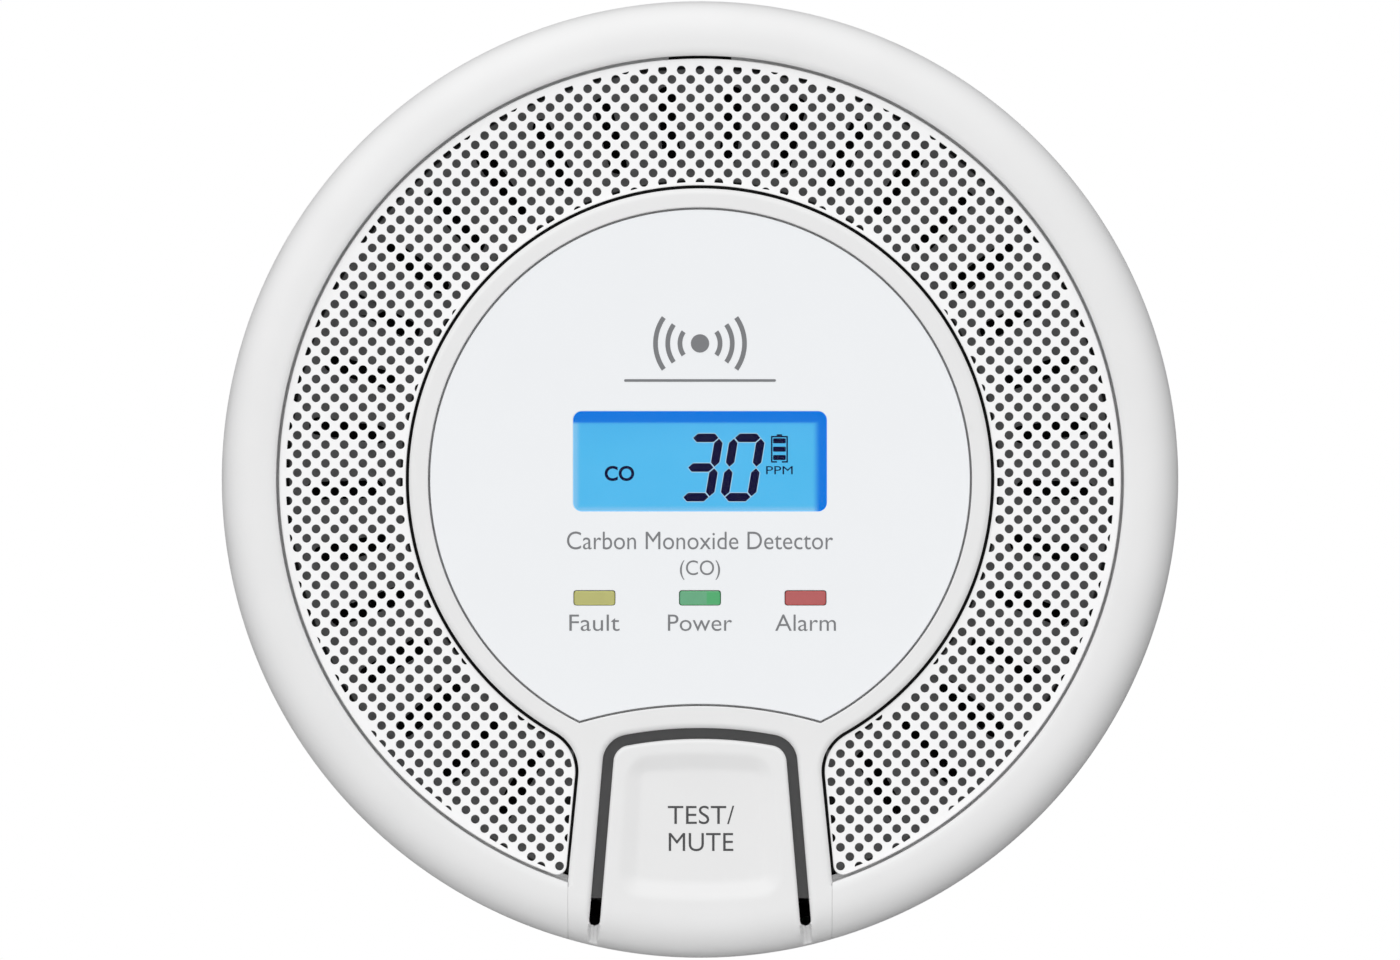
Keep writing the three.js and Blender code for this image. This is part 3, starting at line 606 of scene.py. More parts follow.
class Look:
    """A procedural material, built node by node round one Principled shader."""

    def __init__(self, name, colour, rough, metal=0.0, specular=0.5):
        self.material = bpy.data.materials.new(name)
        self.material.use_nodes = True
        self.tree = self.material.node_tree
        self.shader = self.tree.nodes["Principled BSDF"]
        self.output = self.tree.nodes["Material Output"]
        self.colour = colour
        self.shader.inputs["Base Color"].default_value = (*colour, 1)
        self.shader.inputs["Roughness"].default_value = rough
        self.shader.inputs["Metallic"].default_value = metal
        self.shader.inputs["Specular IOR Level"].default_value = specular
        self.rough = rough
        self.place = self.node("ShaderNodeTexCoord").outputs["Object"]

    def node(self, kind, **settings):
        made = self.tree.nodes.new(kind)
        for key, value in settings.items():
            setattr(made, key, value)
        return made

    def link(self, source, target):
        self.tree.links.new(source, target)

    def noise(self, size, detail, roughness=0.5):
        """Noise whose features are about a size in millimetres."""
        mapping = self.node("ShaderNodeMapping")
        mapping.inputs["Scale"].default_value = [1 / (size * MM)] * 3
        self.link(self.place, mapping.inputs["Vector"])
        made = self.node("ShaderNodeTexNoise")
        made.inputs["Scale"].default_value = 1
        made.inputs["Detail"].default_value = detail
        made.inputs["Roughness"].default_value = roughness
        self.link(mapping.outputs["Vector"], made.inputs["Vector"])
        return made.outputs["Fac"]

    def ranged(self, value, low, high, to_low, to_high, smoothly=False):
        made = self.node("ShaderNodeMapRange")
        if smoothly:
            made.interpolation_type = "SMOOTHSTEP"
        for name, number in zip(("From Min", "From Max", "To Min", "To Max"), (low, high, to_low, to_high)):
            made.inputs[name].default_value = number
        self.link(value, made.inputs["Value"])
        return made.outputs["Result"]

    def drift(self, size, detail=2):
        """Slow change over the surface, from 0 to 1."""
        return self.ranged(self.noise(size, detail), 0.3, 0.7, 0, 1)

    def past(self, value, low, high, to_low=0, to_high=1, smoothly=False):
        """A step along a length, between two places in millimetres."""
        return self.ranged(value, low * MM, high * MM, to_low, to_high, smoothly)

    def mixed(self, share, a, b):
        """Colour a where the share is 0 and b where it is 1; each is a colour or a socket."""
        made = self.node("ShaderNodeMix", data_type="RGBA")
        self.link(share, made.inputs["Factor"])
        for value, key in ((a, "A"), (b, "B")):
            socket = next(s for s in made.inputs if s.name == key and s.type == "RGBA")
            if isinstance(value, tuple):
                socket.default_value = (*value, 1)
            else:
                self.link(value, socket)
        return next(s for s in made.outputs if s.type == "RGBA")

    def math(self, operation, a, b=0.0):
        """An operation on two values; each is a number or a socket."""
        made = self.node("ShaderNodeMath", operation=operation)
        for index, value in enumerate((a, b)):
            if isinstance(value, (int, float)):
                made.inputs[index].default_value = value
            else:
                self.link(value, made.inputs[index])
        return made.outputs["Value"]

    def axes(self):
        """x, y and z of the place, in metres."""
        split = self.node("ShaderNodeSeparateXYZ")
        self.link(self.place, split.inputs["Vector"])
        return split.outputs

    def paint(self, socket):
        self.link(socket, self.shader.inputs["Base Color"])
        return self

    def mottled(self, amount=0.02, size=9.0):
        """Slight drift of the colour over the surface."""
        dark = tuple(c * (1 - amount) for c in self.colour)
        light = tuple(min(1, c * (1 + amount)) for c in self.colour)
        return self.paint(self.mixed(self.drift(size, 3), dark, light))

    def glow(self, socket):
        """Gives off a colour of its own, at full strength."""
        self.link(socket, self.shader.inputs["Emission Color"])
        self.shader.inputs["Emission Strength"].default_value = 1.0

    def grained(self, size, depth, strength=0.25, rough_by=0.06):
        """Fine relief of a depth in millimetres, and a little variation of the gloss."""
        bump = self.node("ShaderNodeBump")
        bump.inputs["Strength"].default_value = strength
        bump.inputs["Distance"].default_value = depth * MM
        self.link(self.noise(size, 2, 0.6), bump.inputs["Height"])
        self.link(bump.outputs["Normal"], self.shader.inputs["Normal"])
        low, high = max(0.02, self.rough - rough_by), min(1, self.rough + rough_by)
        gloss = self.ranged(self.noise(size * 14, 3), 0.3, 0.7, low, high)
        self.link(gloss, self.shader.inputs["Roughness"])
        return self


def plastic(name, colour, rough=0.42, mottle=0.012, grain=0.3, depth=0.006):
    return Look(name, colour, rough).mottled(mottle).grained(grain, depth).material


def ink(name, colour):
    """Matt ink that hardly mirrors the room."""
    return Look(name, colour, 0.6, specular=0.03).mottled(0.1, 0.8).material


def lit(name, colour):
    """A surface that glows evenly, but for a slight drift."""
    look = Look(name, (0.02, 0.04, 0.06), 0.5, specular=0.05)
    look.glow(look.mixed(look.drift(4), colour, tuple(c * 0.97 for c in colour)))
    return look.material


CASE_WHITE = plastic("case white plastic", (0.83, 0.83, 0.832), 0.42)
BRACKET_WHITE = plastic("bracket plastic", (0.82, 0.82, 0.82), 0.5, 0.02, 0.4, 0.012)
LABEL_WHITE = plastic("label film", (0.888, 0.905, 0.925), 0.5, 0.004, 0.15, 0.002)
BLACK_PLASTIC = plastic("black plastic", (0.02, 0.02, 0.022), 0.45, 0.1, 0.25, 0.01)
BLACK_RUBBER = plastic("black rubber", (0.018, 0.018, 0.018), 0.7, 0.15, 0.15, 0.01)
INK_GREY = plastic("label ink", (0.19, 0.195, 0.205), 0.55, 0.03, 0.1, 0.002)
INK_DARK = plastic("button ink", (0.055, 0.055, 0.058), 0.55, 0.03, 0.1, 0.002)
PLUNGER_GREY = plastic("plunger plastic", (0.25, 0.25, 0.26), 0.5, 0.05)
LED_PACKAGE = plastic("led package", (0.8, 0.79, 0.7), 0.35, 0.03)
DIFFUSER = plastic("diffuser", (0.85, 0.88, 0.9), 0.6, 0.02)
RED_WIRE = plastic("red wire sleeve", (0.5, 0.02, 0.02), 0.45, 0.08, 0.2, 0.01)
NAVY = ink("display segment", (0.003, 0.001, 0.045))
HALO = lit("display halo", (0.5, 0.74, 0.96))


def grille_paint():
    """Satin paint on punched sheet, with a fine orange-peel."""
    look = Look("grille paint", (0.955, 0.955, 0.957), 0.36).mottled(0.01, 1.2)
    return look.grained(0.35, 0.012, 0.3).material


def cover_plastic_and_painted_shade():
    """Dark moulded cover, with painted shade: black where it lies under the shadow gaps and under the
    groove round the grille, and darker along the button's slot.
    """
    light = (0.25, 0.25, 0.254), (0.275, 0.275, 0.28)
    # Painted shade: the cover is darker where it is seen through the narrow slot round the button.
    slot_painted_shade = (0.175, 0.175, 0.177)
    # Painted shadow: near black where the cover lies deep under narrow gaps that light hardly reaches.
    black = (0.004, 0.004, 0.004)
    inner_gap_r, outer_gap_r = 34.3, 47.0
    slot_x, slot_z = 13, -28  # the slot's floor is nearer the middle and further down than this
    look = Look("inner cover plastic", (0.3, 0.3, 0.305), 0.75)
    x, _, z = look.axes()
    squares = [look.math("MULTIPLY", axis, axis) for axis in (x, z)]
    radius = look.math("SQRT", look.math("ADD", *squares))
    across = look.math("ABSOLUTE", x)
    above = look.past(z, slot_z, slot_z + 1)
    below = look.past(z, slot_z, slot_z + 1, 1, 0)
    beside = look.past(across, slot_x, slot_x + 0.1)
    clear = look.math("MAXIMUM", beside, above)
    # Painted shade: beside the neck the black reaches further out where the neck's fillet widens the gap.
    reach = look.past(z, -35.9, -35.7, 15.55 * MM, 14.5 * MM)
    neck_gap_painted_shade = look.math("MULTIPLY", look.math("LESS_THAN", across, reach), beside)
    neck_gap_painted_shade = look.math("MULTIPLY", neck_gap_painted_shade, below)
    grey = look.mixed(clear, slot_painted_shade, look.mixed(look.drift(1.5, 3), *light))
    grey = look.mixed(neck_gap_painted_shade, grey, black)
    ring = look.mixed(clear, slot_painted_shade, black)
    # Painted shade: black inside the bezel's shadow gap, and outside the radius of the groove round the
    # grille.
    past_inner = look.past(radius, inner_gap_r, inner_gap_r + 0.2)
    past_outer = look.math("MULTIPLY", look.past(radius, outer_gap_r, outer_gap_r + 0.2), above)
    look.paint(look.mixed(past_outer, look.mixed(past_inner, ring, grey), black))
    return look.grained(0.3, 0.02).material


def metal(name, colour, rough):
    return Look(name, colour, rough, metal=1.0).mottled(0.06, 3).grained(1.2, 0.01, 0.3, 0.08).material


GRILLE_PAINT = grille_paint()
COVER_AND_PAINTED_SHADE = cover_plastic_and_painted_shade()
STEEL = metal("nickel plated steel", (0.62, 0.61, 0.59), 0.3)
BRASS = metal("brass", (0.6, 0.42, 0.17), 0.32)


def board():
    """Green solder mask with paler tracks and plated rings."""
    look = Look("circuit board", (0.02, 0.13, 0.055), 0.35)
    cells = look.node("ShaderNodeTexVoronoi", feature="DISTANCE_TO_EDGE", distance="MANHATTAN")
    cells.inputs["Scale"].default_value = 260
    look.link(look.place, cells.inputs["Vector"])
    track = look.ranged(cells.outputs["Distance"], 0.02, 0.05, 1, 0)
    mask = look.mixed(look.drift(6), (0.018, 0.12, 0.05), (0.025, 0.15, 0.065))
    look.paint(look.mixed(track, mask, (0.05, 0.24, 0.11)))
    return look.grained(0.4, 0.01).material


def wrap():
    """Plastic sleeve of the cell: a pale band at the button end and bare metal at both ends."""
    look = Look("cell sleeve", (0.03, 0.09, 0.2), 0.3)
    x = look.axes()[0]
    sleeve = look.mixed(look.drift(8), (0.03, 0.085, 0.19), (0.035, 0.1, 0.22))
    bare, band_start, bare_start, bare_end = (0.55, 0.54, 0.52), 10.4, 16.95, -15.12
    sleeve = look.mixed(look.past(x, band_start, band_start + 0.1), sleeve, (0.6, 0.6, 0.58))
    sleeve = look.mixed(look.past(x, bare_start, bare_start + 0.05), sleeve, bare)
    look.paint(look.mixed(look.past(x, bare_end, bare_end + 0.02, 1, 0), sleeve, bare))
    return look.grained(0.5, 0.004).material


def woven_black():
    """Fine black mesh with a visible weave."""
    look = Look("black mesh", (0.006, 0.006, 0.006), 0.9, specular=0.1).mottled(0.3, 0.6)
    waves = []
    for direction in ("X", "Z"):
        wave = look.node("ShaderNodeTexWave", bands_direction=direction)
        wave.inputs["Scale"].default_value = 1100
        look.link(look.place, wave.inputs["Vector"])
        waves.append(wave.outputs["Fac"])
    bump = look.node("ShaderNodeBump")
    bump.inputs["Distance"].default_value = 0.05 * MM
    look.link(look.math("MULTIPLY", *waves), bump.inputs["Height"])
    look.link(bump.outputs["Normal"], look.shader.inputs["Normal"])
    return look.material


BOARD = board()
WRAP = wrap()
MESH_BLACK = woven_black()
SLEEVE = plastic("capacitor sleeve", (0.03, 0.035, 0.05), 0.35, 0.1)
FERRITE = plastic("wound ferrite", (0.06, 0.045, 0.04), 0.5, 0.2)


def tinted(name, colour, edge, right=None):
    """A tinted light pipe, a little paler at its edge, and of another tint at its right if given."""
    look = Look(name, colour, 0.22)
    body = look.mixed(look.drift(1.2), colour, tuple(c * 0.95 for c in colour))
    x, _, z = look.axes()
    if right:
        body = look.mixed(look.past(x, 0.7, 0.85), body, right)
    up = look.math("ABSOLUTE", look.math("SUBTRACT", z, LIGHT_Z * MM))
    rim = look.past(up, 0.62, 0.75, smoothly=True)
    look.paint(look.mixed(rim, body, edge))
    return look.grained(0.2, 0.003, rough_by=0.03).material


LENSES = {
    "fault": tinted("yellow lens", (0.49, 0.48, 0.16), (0.62, 0.62, 0.22)),
    "power": tinted("green lens", (0.12, 0.4, 0.21), (0.16, 0.5, 0.24), (0.06, 0.4, 0.14)),
    "alarm": tinted("red lens", (0.47, 0.095, 0.095), (0.58, 0.13, 0.12)),
}


def backlit_display():
    """The lit display: pale blue, with a painted shadow of the window's frame in deep blue along its top
    and right edges, and paler along its left and foot edges.
    """
    look = Look("lit display", (0, 0.01, 0.03), 0.25, specular=0.08)
    x, _, z = look.axes()
    left, right = LCD_X - LCD_W / 2, LCD_X + LCD_W / 2
    foot, top = LCD_Z - LCD_H / 2, LCD_Z + LCD_H / 2
    pale, haze, deep = (0.085, 0.545, 0.95), (0.24, 0.62, 0.96), (0.0, 0.2, 0.82)
    drift = look.drift(9)
    glow = look.mixed(drift, pale, (0.1, 0.565, 0.97))
    # Painted shadow: darker blue towards the top, under the window's frame.
    glow = look.mixed(look.past(z, top - 4.5, top - 1.0, 0, 0.25), glow, (0.06, 0.43, 0.93))
    edge_left = look.past(x, left + 0.15, left + 0.9, 1, 0, True)
    edge_foot = look.past(z, foot + 0.1, foot + 0.75, 1, 0, True)
    glow = look.mixed(look.math("MAXIMUM", edge_left, edge_foot), glow, haze)
    # Painted shadow of the window's frame, deep blue along the top and right edges.
    frame_shadow_top = look.past(z, top - 1.55, top - 1.1, 0, 1, True)
    frame_shadow_right = look.past(x, right - 1.7, right - 0.7, 0, 1, True)
    look.glow(look.mixed(look.math("MAXIMUM", frame_shadow_top, frame_shadow_right), glow, deep))
    look.paint(look.mixed(drift, (0, 0.01, 0.03), (0, 0.012, 0.035)))
    return look.material


def clear_pane():
    """A thin clear window that light and shadow rays pass through."""
    look = Look("clear window", (0.02, 0.025, 0.03), 0.05)
    look.mottled(0.01)
    clear = look.node("ShaderNodeBsdfTransparent")
    mix = look.node("ShaderNodeMixShader")
    mix.inputs["Fac"].default_value = 0.92
    look.link(look.shader.outputs["BSDF"], mix.inputs[1])
    look.link(clear.outputs["BSDF"], mix.inputs[2])
    look.link(mix.outputs["Shader"], look.output.inputs["Surface"])
    return look.material


DISPLAY = backlit_display()
PANE = clear_pane()

# ---------------------------------------------------------------- case: ring and bezel


def front_ring():
    """The rim, with its inner ledge, and the notch that the bezel's foot fills."""
    turns = np.linspace(0, math.pi / 2, 7)
    inner = np.column_stack([
        CREST_R - (CREST_R - RIM_INNER_R) * np.sin(turns),
        FRONT - RIM_INNER_DROP * (1 - np.cos(turns)),
    ])
    outer = np.column_stack([RIM_R, RIM_LEVEL])[::-1]
    outer[0] += (-0.25, 0)
    under = np.column_stack([RIM_R - WALL * RIM_OUT, RIM_LEVEL - WALL * RIM_UP])
    step, step_r = 31.1, 51.8
    under = under[(under[:, 1] < 30.7) & (under[:, 1] > PARTING + 0.5)][::4]
    profile = np.vstack([
        outer[:1],
        [(outer[0, 0] + 0.25, PARTING + 0.25)],
        outer[2:-1],
        inner,
        [(RIM_INNER_R, LEDGE_FRONT + 0.2), (RIM_INNER_R - 0.2, LEDGE_FRONT)],
        [(LEDGE_R, LEDGE_FRONT), (LEDGE_R, step), (step_r, step)],
        under,
        [(54.1 - WALL, PARTING)],
    ])
    piece = lathe("front_ring_shell", profile, segments=320)
    half = FOOT_HALF + SEAM
    notch = block("notch", 0, -BODY_R - 5, 2 * half, 40, FOOT_BACK - SEAM, FRONT + 1, 0.01, 0.02)
    slit = block("slit", 0, RIM_INNER_R - 1.5, 7.2, 3.4, 29, LEDGE_FRONT + 0.4, 0.01, 0.02)
    cut(piece, notch)
    cut(piece, slit)
    return fitted(piece, "alarm", CASE_WHITE, "case_white", "front_ring")


SLOT_MID = SLOT_HALF - SLOT_WIDTH / 2 * math.hypot(1, SLOT_FLARE)
SLOT_TILT = math.atan(SLOT_FLARE)
SLOT_END = (SLOT_MID - SLOT_FLARE * SLOT_END_Z, SLOT_END_Z)


def seam_line(shift=0.0, step=0.4):
    """The joint beside the button's root, from the slot's end down the rim, rolled out flat."""
    tip = unrolled(np.array([[SLOT_END[0], SLOT_END_Z - SLOT_WIDTH / 2]]))
    first = float(np.hypot(*tip[0])) - CREST_R
    return rim_line(SLOT_MID, SLOT_FLARE, shift, first, FOOT_PAST, step)


SEAM_LINE = seam_line()


def groove(points):
    """Depth of the groove below the slot, whose floor runs out at the case's edge."""
    middle_x = np.interp(-points[:, 1], -SEAM_LINE[:, 1], SEAM_LINE[:, 0])
    across = np.abs(np.abs(points[:, 0]) - middle_x)
    rho = np.maximum(np.hypot(*points.T), 1e-9)
    past = rho - CREST_R
    down = -points[:, 1] * np.interp(past, PAST, RIM_R) / rho - GROOVE_TOP
    floor = FRONT - GROOVE_DROP - GROOVE_SLOPE * down
    deep = np.maximum(np.interp(past, PAST, RIM_LEVEL) - floor, 0)
    return deep * smooth(*GROOVE_START, down) * (1 - smooth(GROOVE_FLOOR_HALF, GROOVE_HALF, across))


def groove_points():
    """Points in lines along both grooves, and in arcs round their tops."""
    right = [seam_line(shift, 0.35) for shift in GROOVE_SHIFTS]
    tip = unrolled(np.array([SLOT_END]))[0]
    right += [arc(*tip, r, -math.pi, 0, 0.12) for r in GROOVE_RINGS]
    right = np.vstack(right)
    return np.vstack([right, right * (-1, 1)])


def rim_points(step=0.55):
    """Points in rows along the rim, over the width of the foot."""
    rows = []
    reach = 16.5
    for past in np.arange(0.1, FOOT_PAST, step):
        half = reach / (CREST_R + past)
        angles = np.arange(-half, half, step * 1.4 / CREST_R) - math.pi / 2
        rows.append(np.column_stack([np.cos(angles), np.sin(angles)]) * (CREST_R + past))
    return np.vstack(rows)


def foot_edge(x_from, x_to):
    """The foot's back edge between two places across, rolled out flat."""
    r = CREST_R + FOOT_PAST
    start, end = (-math.acos(x / r) for x in (x_from, x_to))
    return arc(0, 0, r, start, end)


def fillet_centre():
    """The middle of the right fillet between the bezel's ring and its neck."""
    x, z = meet(NECK_HALF, NECK_FLARE, NECK_FILLET, 0, BEZEL_R + NECK_FILLET)
    return float(x), float(z)


def slot_corner():
    """The middle of the slot's right upper corner, and its direction from the arcs' centre."""
    x, z = meet(SLOT_HALF, SLOT_FLARE, -SLOT_CORNER, ARC_CENTRE_Z, SLOT_ARC_R - SLOT_CORNER, True)
    return float(x), float(z), math.atan2(float(z) - ARC_CENTRE_Z, float(x))


def tip_weight(loop):
    """Edges get sharper towards the tip of the slot, where the joint starts."""
    gap = np.hypot(np.abs(loop[:, 0]) - SEAM_LINE[0, 0], loop[:, 1] - SEAM_LINE[0, 1])
    share = 0.1 + 0.9 * smooth(0.1, 1.5, gap)
    return np.where(loop[:, 1] < SEAM_LINE[0, 1] + 0.02, 1, share)


def bezel_loop():
    """The bezel's outline with the slot in its foot, rolled out flat, and a weight per point."""
    fx, fz = fillet_centre()
    leave = math.atan2(fz, fx)
    tilt = math.atan(NECK_FLARE)
    cx, cz, turn = slot_corner()
    crest = (-FOOT_HALF, -math.sqrt(CREST_R**2 - FOOT_HALF**2))
    ring = [
        arc(0, 0, BEZEL_R, math.pi / 2, math.pi - leave),
        arc(-fx, fz, NECK_FILLET, -leave, -tilt, 0.3),
        [(-FOOT_HALF, FOOT_TOP_Z)],
        line((-FOOT_HALF, FOOT_TOP_Z), crest),
        rim_line(FOOT_HALF, 0) * (-1, 1),
    ]
    seam = seam_line(SEAM_HALF)
    foot = foot_edge(-rim_line(FOOT_HALF, 0)[-1, 0], -seam[-1, 0])
    half = SLOT_WIDTH / 2
    end = arc(-SLOT_END[0], SLOT_END_Z, half, 1.5 * math.pi, math.pi - SLOT_TILT, 0.1)
    corner = arc(-cx, cz, SLOT_CORNER, math.pi - SLOT_TILT, math.pi - turn, 0.2)
    side = line(end[-1], corner[0])
    top = arc(0, ARC_CENTRE_Z, SLOT_ARC_R, math.pi - turn, math.pi / 2)
    slot = unrolled(joined([(-9.0, 9.0)], end, side, corner, top)[1:])
    outside = joined(*ring)
    seam_up = (seam * (-1, 1))[::-1]
    loop = joined(outside, foot[1:], seam_up[1:], slot[1:])
    weights = np.ones(len(loop))
    on_seam = (loop[:, 1] < SEAM_LINE[0, 1] + 0.02) & (np.abs(loop[:, 0]) < FOOT_HALF - 1)
    on_seam &= np.hypot(*loop.T) < CREST_R + FOOT_PAST - 0.01
    weights[on_seam] = SEAM_SHARE
    side_edge = (np.abs(loop[:, 0]) > FOOT_HALF - 0.3) & (loop[:, 1] < FOOT_TOP_Z - 0.5)
    weights[side_edge] = FOOT_SIDE_SHARE
    weights *= tip_weight(loop)
    weights[loop[:, 1] < FOOT_END_Z] = END_SHARE
    return mirrored(loop), np.append(weights, weights[-2:0:-1])


def label_loop(margin):
    """The label's outline grown by a margin, anticlockwise."""
    r, arc_r = LABEL_R + margin, LABEL_ARC_R - margin
    z = (arc_r**2 - r**2 - ARC_CENTRE_Z**2) / (-2 * ARC_CENTRE_Z)
    x = math.sqrt(r * r - z * z)
    corner, on_arc = math.atan2(z, x), math.atan2(z - ARC_CENTRE_Z, x)
    ring = arc(0, 0, r, math.pi / 2, math.pi - corner)
    foot = arc(0, ARC_CENTRE_Z, arc_r, math.pi - on_arc, math.pi / 2)
    return mirrored(joined(ring, foot[1:]))


def window_loops(grow):
    """Openings for the display and the three lights, anticlockwise."""
    w, h, r = LIGHT
    loops = [rounded_box(LCD_X, LCD_Z, LCD_W + grow, LCD_H + grow, 1.0)]
    return loops + [rounded_box(x, LIGHT_Z, w + grow, h + grow, r) for x in LIGHT_X.values()]


def bezel():
    """The ring round the label with its neck and foot, and the floor that the label lies on."""
    outline, weights = bezel_loop()
    recess = label_loop(LABEL_MARGIN)
    extra = clear_of(np.vstack([rim_points(), groove_points()]), [outline], POINT_GAP)
    extra = np.vstack([extra, close_groove_points(outline)])
    loops = [(outline, round_edge(0.65, 6), weights), (recess[::-1], round_edge(0.14, 3, 0.05), 1)]
    piece = shell(
        "bezel_shell", loops, lambda p, drop: on_face(p, drop, groove(p)), FRONT - BEZEL_BACK, extra
    )
    under_label = with_holes(label_loop(LABEL_MARGIN + 0.4), FLAT_EDGE, window_loops(0.8), FLAT_EDGE)
    floor = shell("floor", under_label, at_level(LABEL_FLOOR), 1.0)
    add(piece, floor)
    return fitted(piece, "alarm", CASE_WHITE, "case_white", "bezel_frame")


def close_groove_points(outline):
    """Points near the joint, where the groove is narrow, between the joint and the rounded edge."""
    near = groove_points()
    near = near[inside(near, outline)]
    gap = nearest_on(near, outline)[1]
    return near[(gap > 0.12) & (gap <= POINT_GAP) & (near[:, 1] < SEAM_LINE[0, 1] - 0.3)]


def button_loop():
    """The button's outline down to the case's edge, rolled out flat, and a weight per point."""
    cx, cz, turn = slot_corner()
    round_r = SLOT_CORNER - SLOT_WIDTH
    top = arc(0, ARC_CENTRE_Z, SLOT_ARC_R - SLOT_WIDTH, math.pi / 2, math.pi - turn)
    corner = arc(-cx, cz, round_r, math.pi - turn, math.pi - SLOT_TILT, 0.2)
    half = SLOT_WIDTH / 2
    end = arc(-SLOT_END[0], SLOT_END_Z, half, -SLOT_TILT, -math.pi / 2, 0.1)
    side = line(corner[-1], end[0])
    tab = unrolled(joined([(9.0, -9.0)], top, corner, side, end)[1:])
    seam = seam_line(-SEAM_HALF) * (-1, 1)
    foot = foot_edge(seam[-1, 0], 0)
    loop = joined(tab, seam[1:], foot[1:])
    weights = np.ones(len(loop))
    weights[loop[:, 1] < SEAM_LINE[0, 1] + 0.02] = SEAM_SHARE
    weights[np.hypot(*loop.T) > CREST_R + FOOT_PAST - 0.01] = END_SHARE
    weights *= tip_weight(loop)
    return mirrored(loop), np.append(weights, weights[-2:0:-1])


def dish(points):
    """Depth of the finger dish: a rounded trapezium, wider at its foot."""
    x, z = points.T
    half_w, half_h = 8.9, (DISH_TOP - DISH_FOOT) / 2  # of the box that it is worked out as
    u = np.abs(x) * half_w / (DISH_HALF + (DISH_TOP - z) * DISH_FLARE)
    v = np.abs(z - (DISH_TOP + DISH_FOOT) / 2) + x * x / DISH_BOW
    qx, qz = u - half_w + DISH_CORNER, v - half_h + DISH_CORNER
    outside = np.hypot(np.maximum(qx, 0), np.maximum(qz, 0)) + np.minimum(np.maximum(qx, qz), 0)
    share = np.clip((DISH_CORNER - outside) / DISH_SIDE, 0, 1)
    ease = DISH_EASE
    rise = np.minimum(share, ease) ** 2 / (2 * ease) + np.clip(share - ease, 0, 1 - 2 * ease)
    rest = np.maximum(share - 1 + ease, 0)
    return DISH_DEEP * (rise + rest - rest**2 / (2 * ease)) / (1 - ease)


def test_button():
    """The sprung tab with its finger dish, and the root that bends."""
    outline, weights = button_loop()
    fine = grid(0, -40, 11, 9.6, 0.33)
    extra = clear_of(np.vstack([rim_points(), groove_points()]), [outline], POINT_GAP)
    extra = extra[extra[:, 1] < -49.5]
    extra = np.vstack([extra, clear_of(fine, [outline], 0.8), close_groove_points(outline)])
    piece = shell(
        "test_button_tab",
        [(outline, round_edge(0.45, 6), weights)],
        lambda p, drop: on_face(p, drop, groove(p) + dish(p)),
        WALL,
        extra,
    )
    fitted(piece, None, CASE_WHITE, "case_white", "test_button")
    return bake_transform(piece)


def button_post():
    """The post behind the button that reaches the switch."""
    x, z, _ = middle("switch_plunger")
    back = front_of("switch_plunger") + 0.3
    piece = lathe("button_post", softened([(0, back), (1.6, back), (1.6, 33), (0, 33)], 0.2), x, z, 32)
    return fitted(piece, "button", CASE_WHITE, "case_white")


# ---------------------------------------------------------------- grille


def grille_loop():
    """The grille's outline: a C that follows the bezel across the shadow gap."""
    fx, fz = fillet_centre()
    leave, tilt = math.atan2(fz, fx), math.atan(NECK_FLARE)
    reach = SHADOW_GAP + GRILLE_CORNER
    cx, cz = meet(NECK_HALF, NECK_FLARE, reach, 0, GRILLE_OUTER_R - GRILLE_CORNER)
    turn = math.atan2(cz, cx)
    fillet = NECK_FILLET - SHADOW_GAP
    corner = arc(-cx, cz, GRILLE_CORNER, math.pi - turn, 2 * math.pi - tilt, 0.15)
    bend = arc(-fx, fz, fillet, -tilt, -leave, 0.3)
    outer = arc(0, 0, GRILLE_OUTER_R, math.pi / 2, math.pi - turn)
    inner = arc(0, 0, GRILLE_INNER_R, math.pi - leave, math.pi / 2)
    left = joined([(-9.0, 9.0)], outer, corner, bend, inner)[1:]
    return joined(left, left[::-1] * (-1, 1))


def area(loop):
    x, z = loop.T
    return 0.5 * float((x * np.roll(z, -1) - z * np.roll(x, -1)).sum())


def clipped(loop, limit):
    """The part of a small loop that lies within a limit, cut off straight where it crosses."""
    within = inside(loop, limit)
    part = []
    for start, end, starts_in, ends_in in zip(loop, np.roll(loop, -1, 0), within, np.roll(within, -1)):
        if starts_in:
            part.append(start)
        if starts_in != ends_in:
            kept, lost = (start, end) if starts_in else (end, start)
            for _ in range(7):
                half = (kept + lost) / 2
                if inside(half[None], limit)[0]:
                    kept = half
                else:
                    lost = half
            part.append(kept)
    part = np.reshape(part, (-1, 2))
    return part[np.linalg.norm(part - np.roll(part, 1, 0), axis=1) > 0.06]


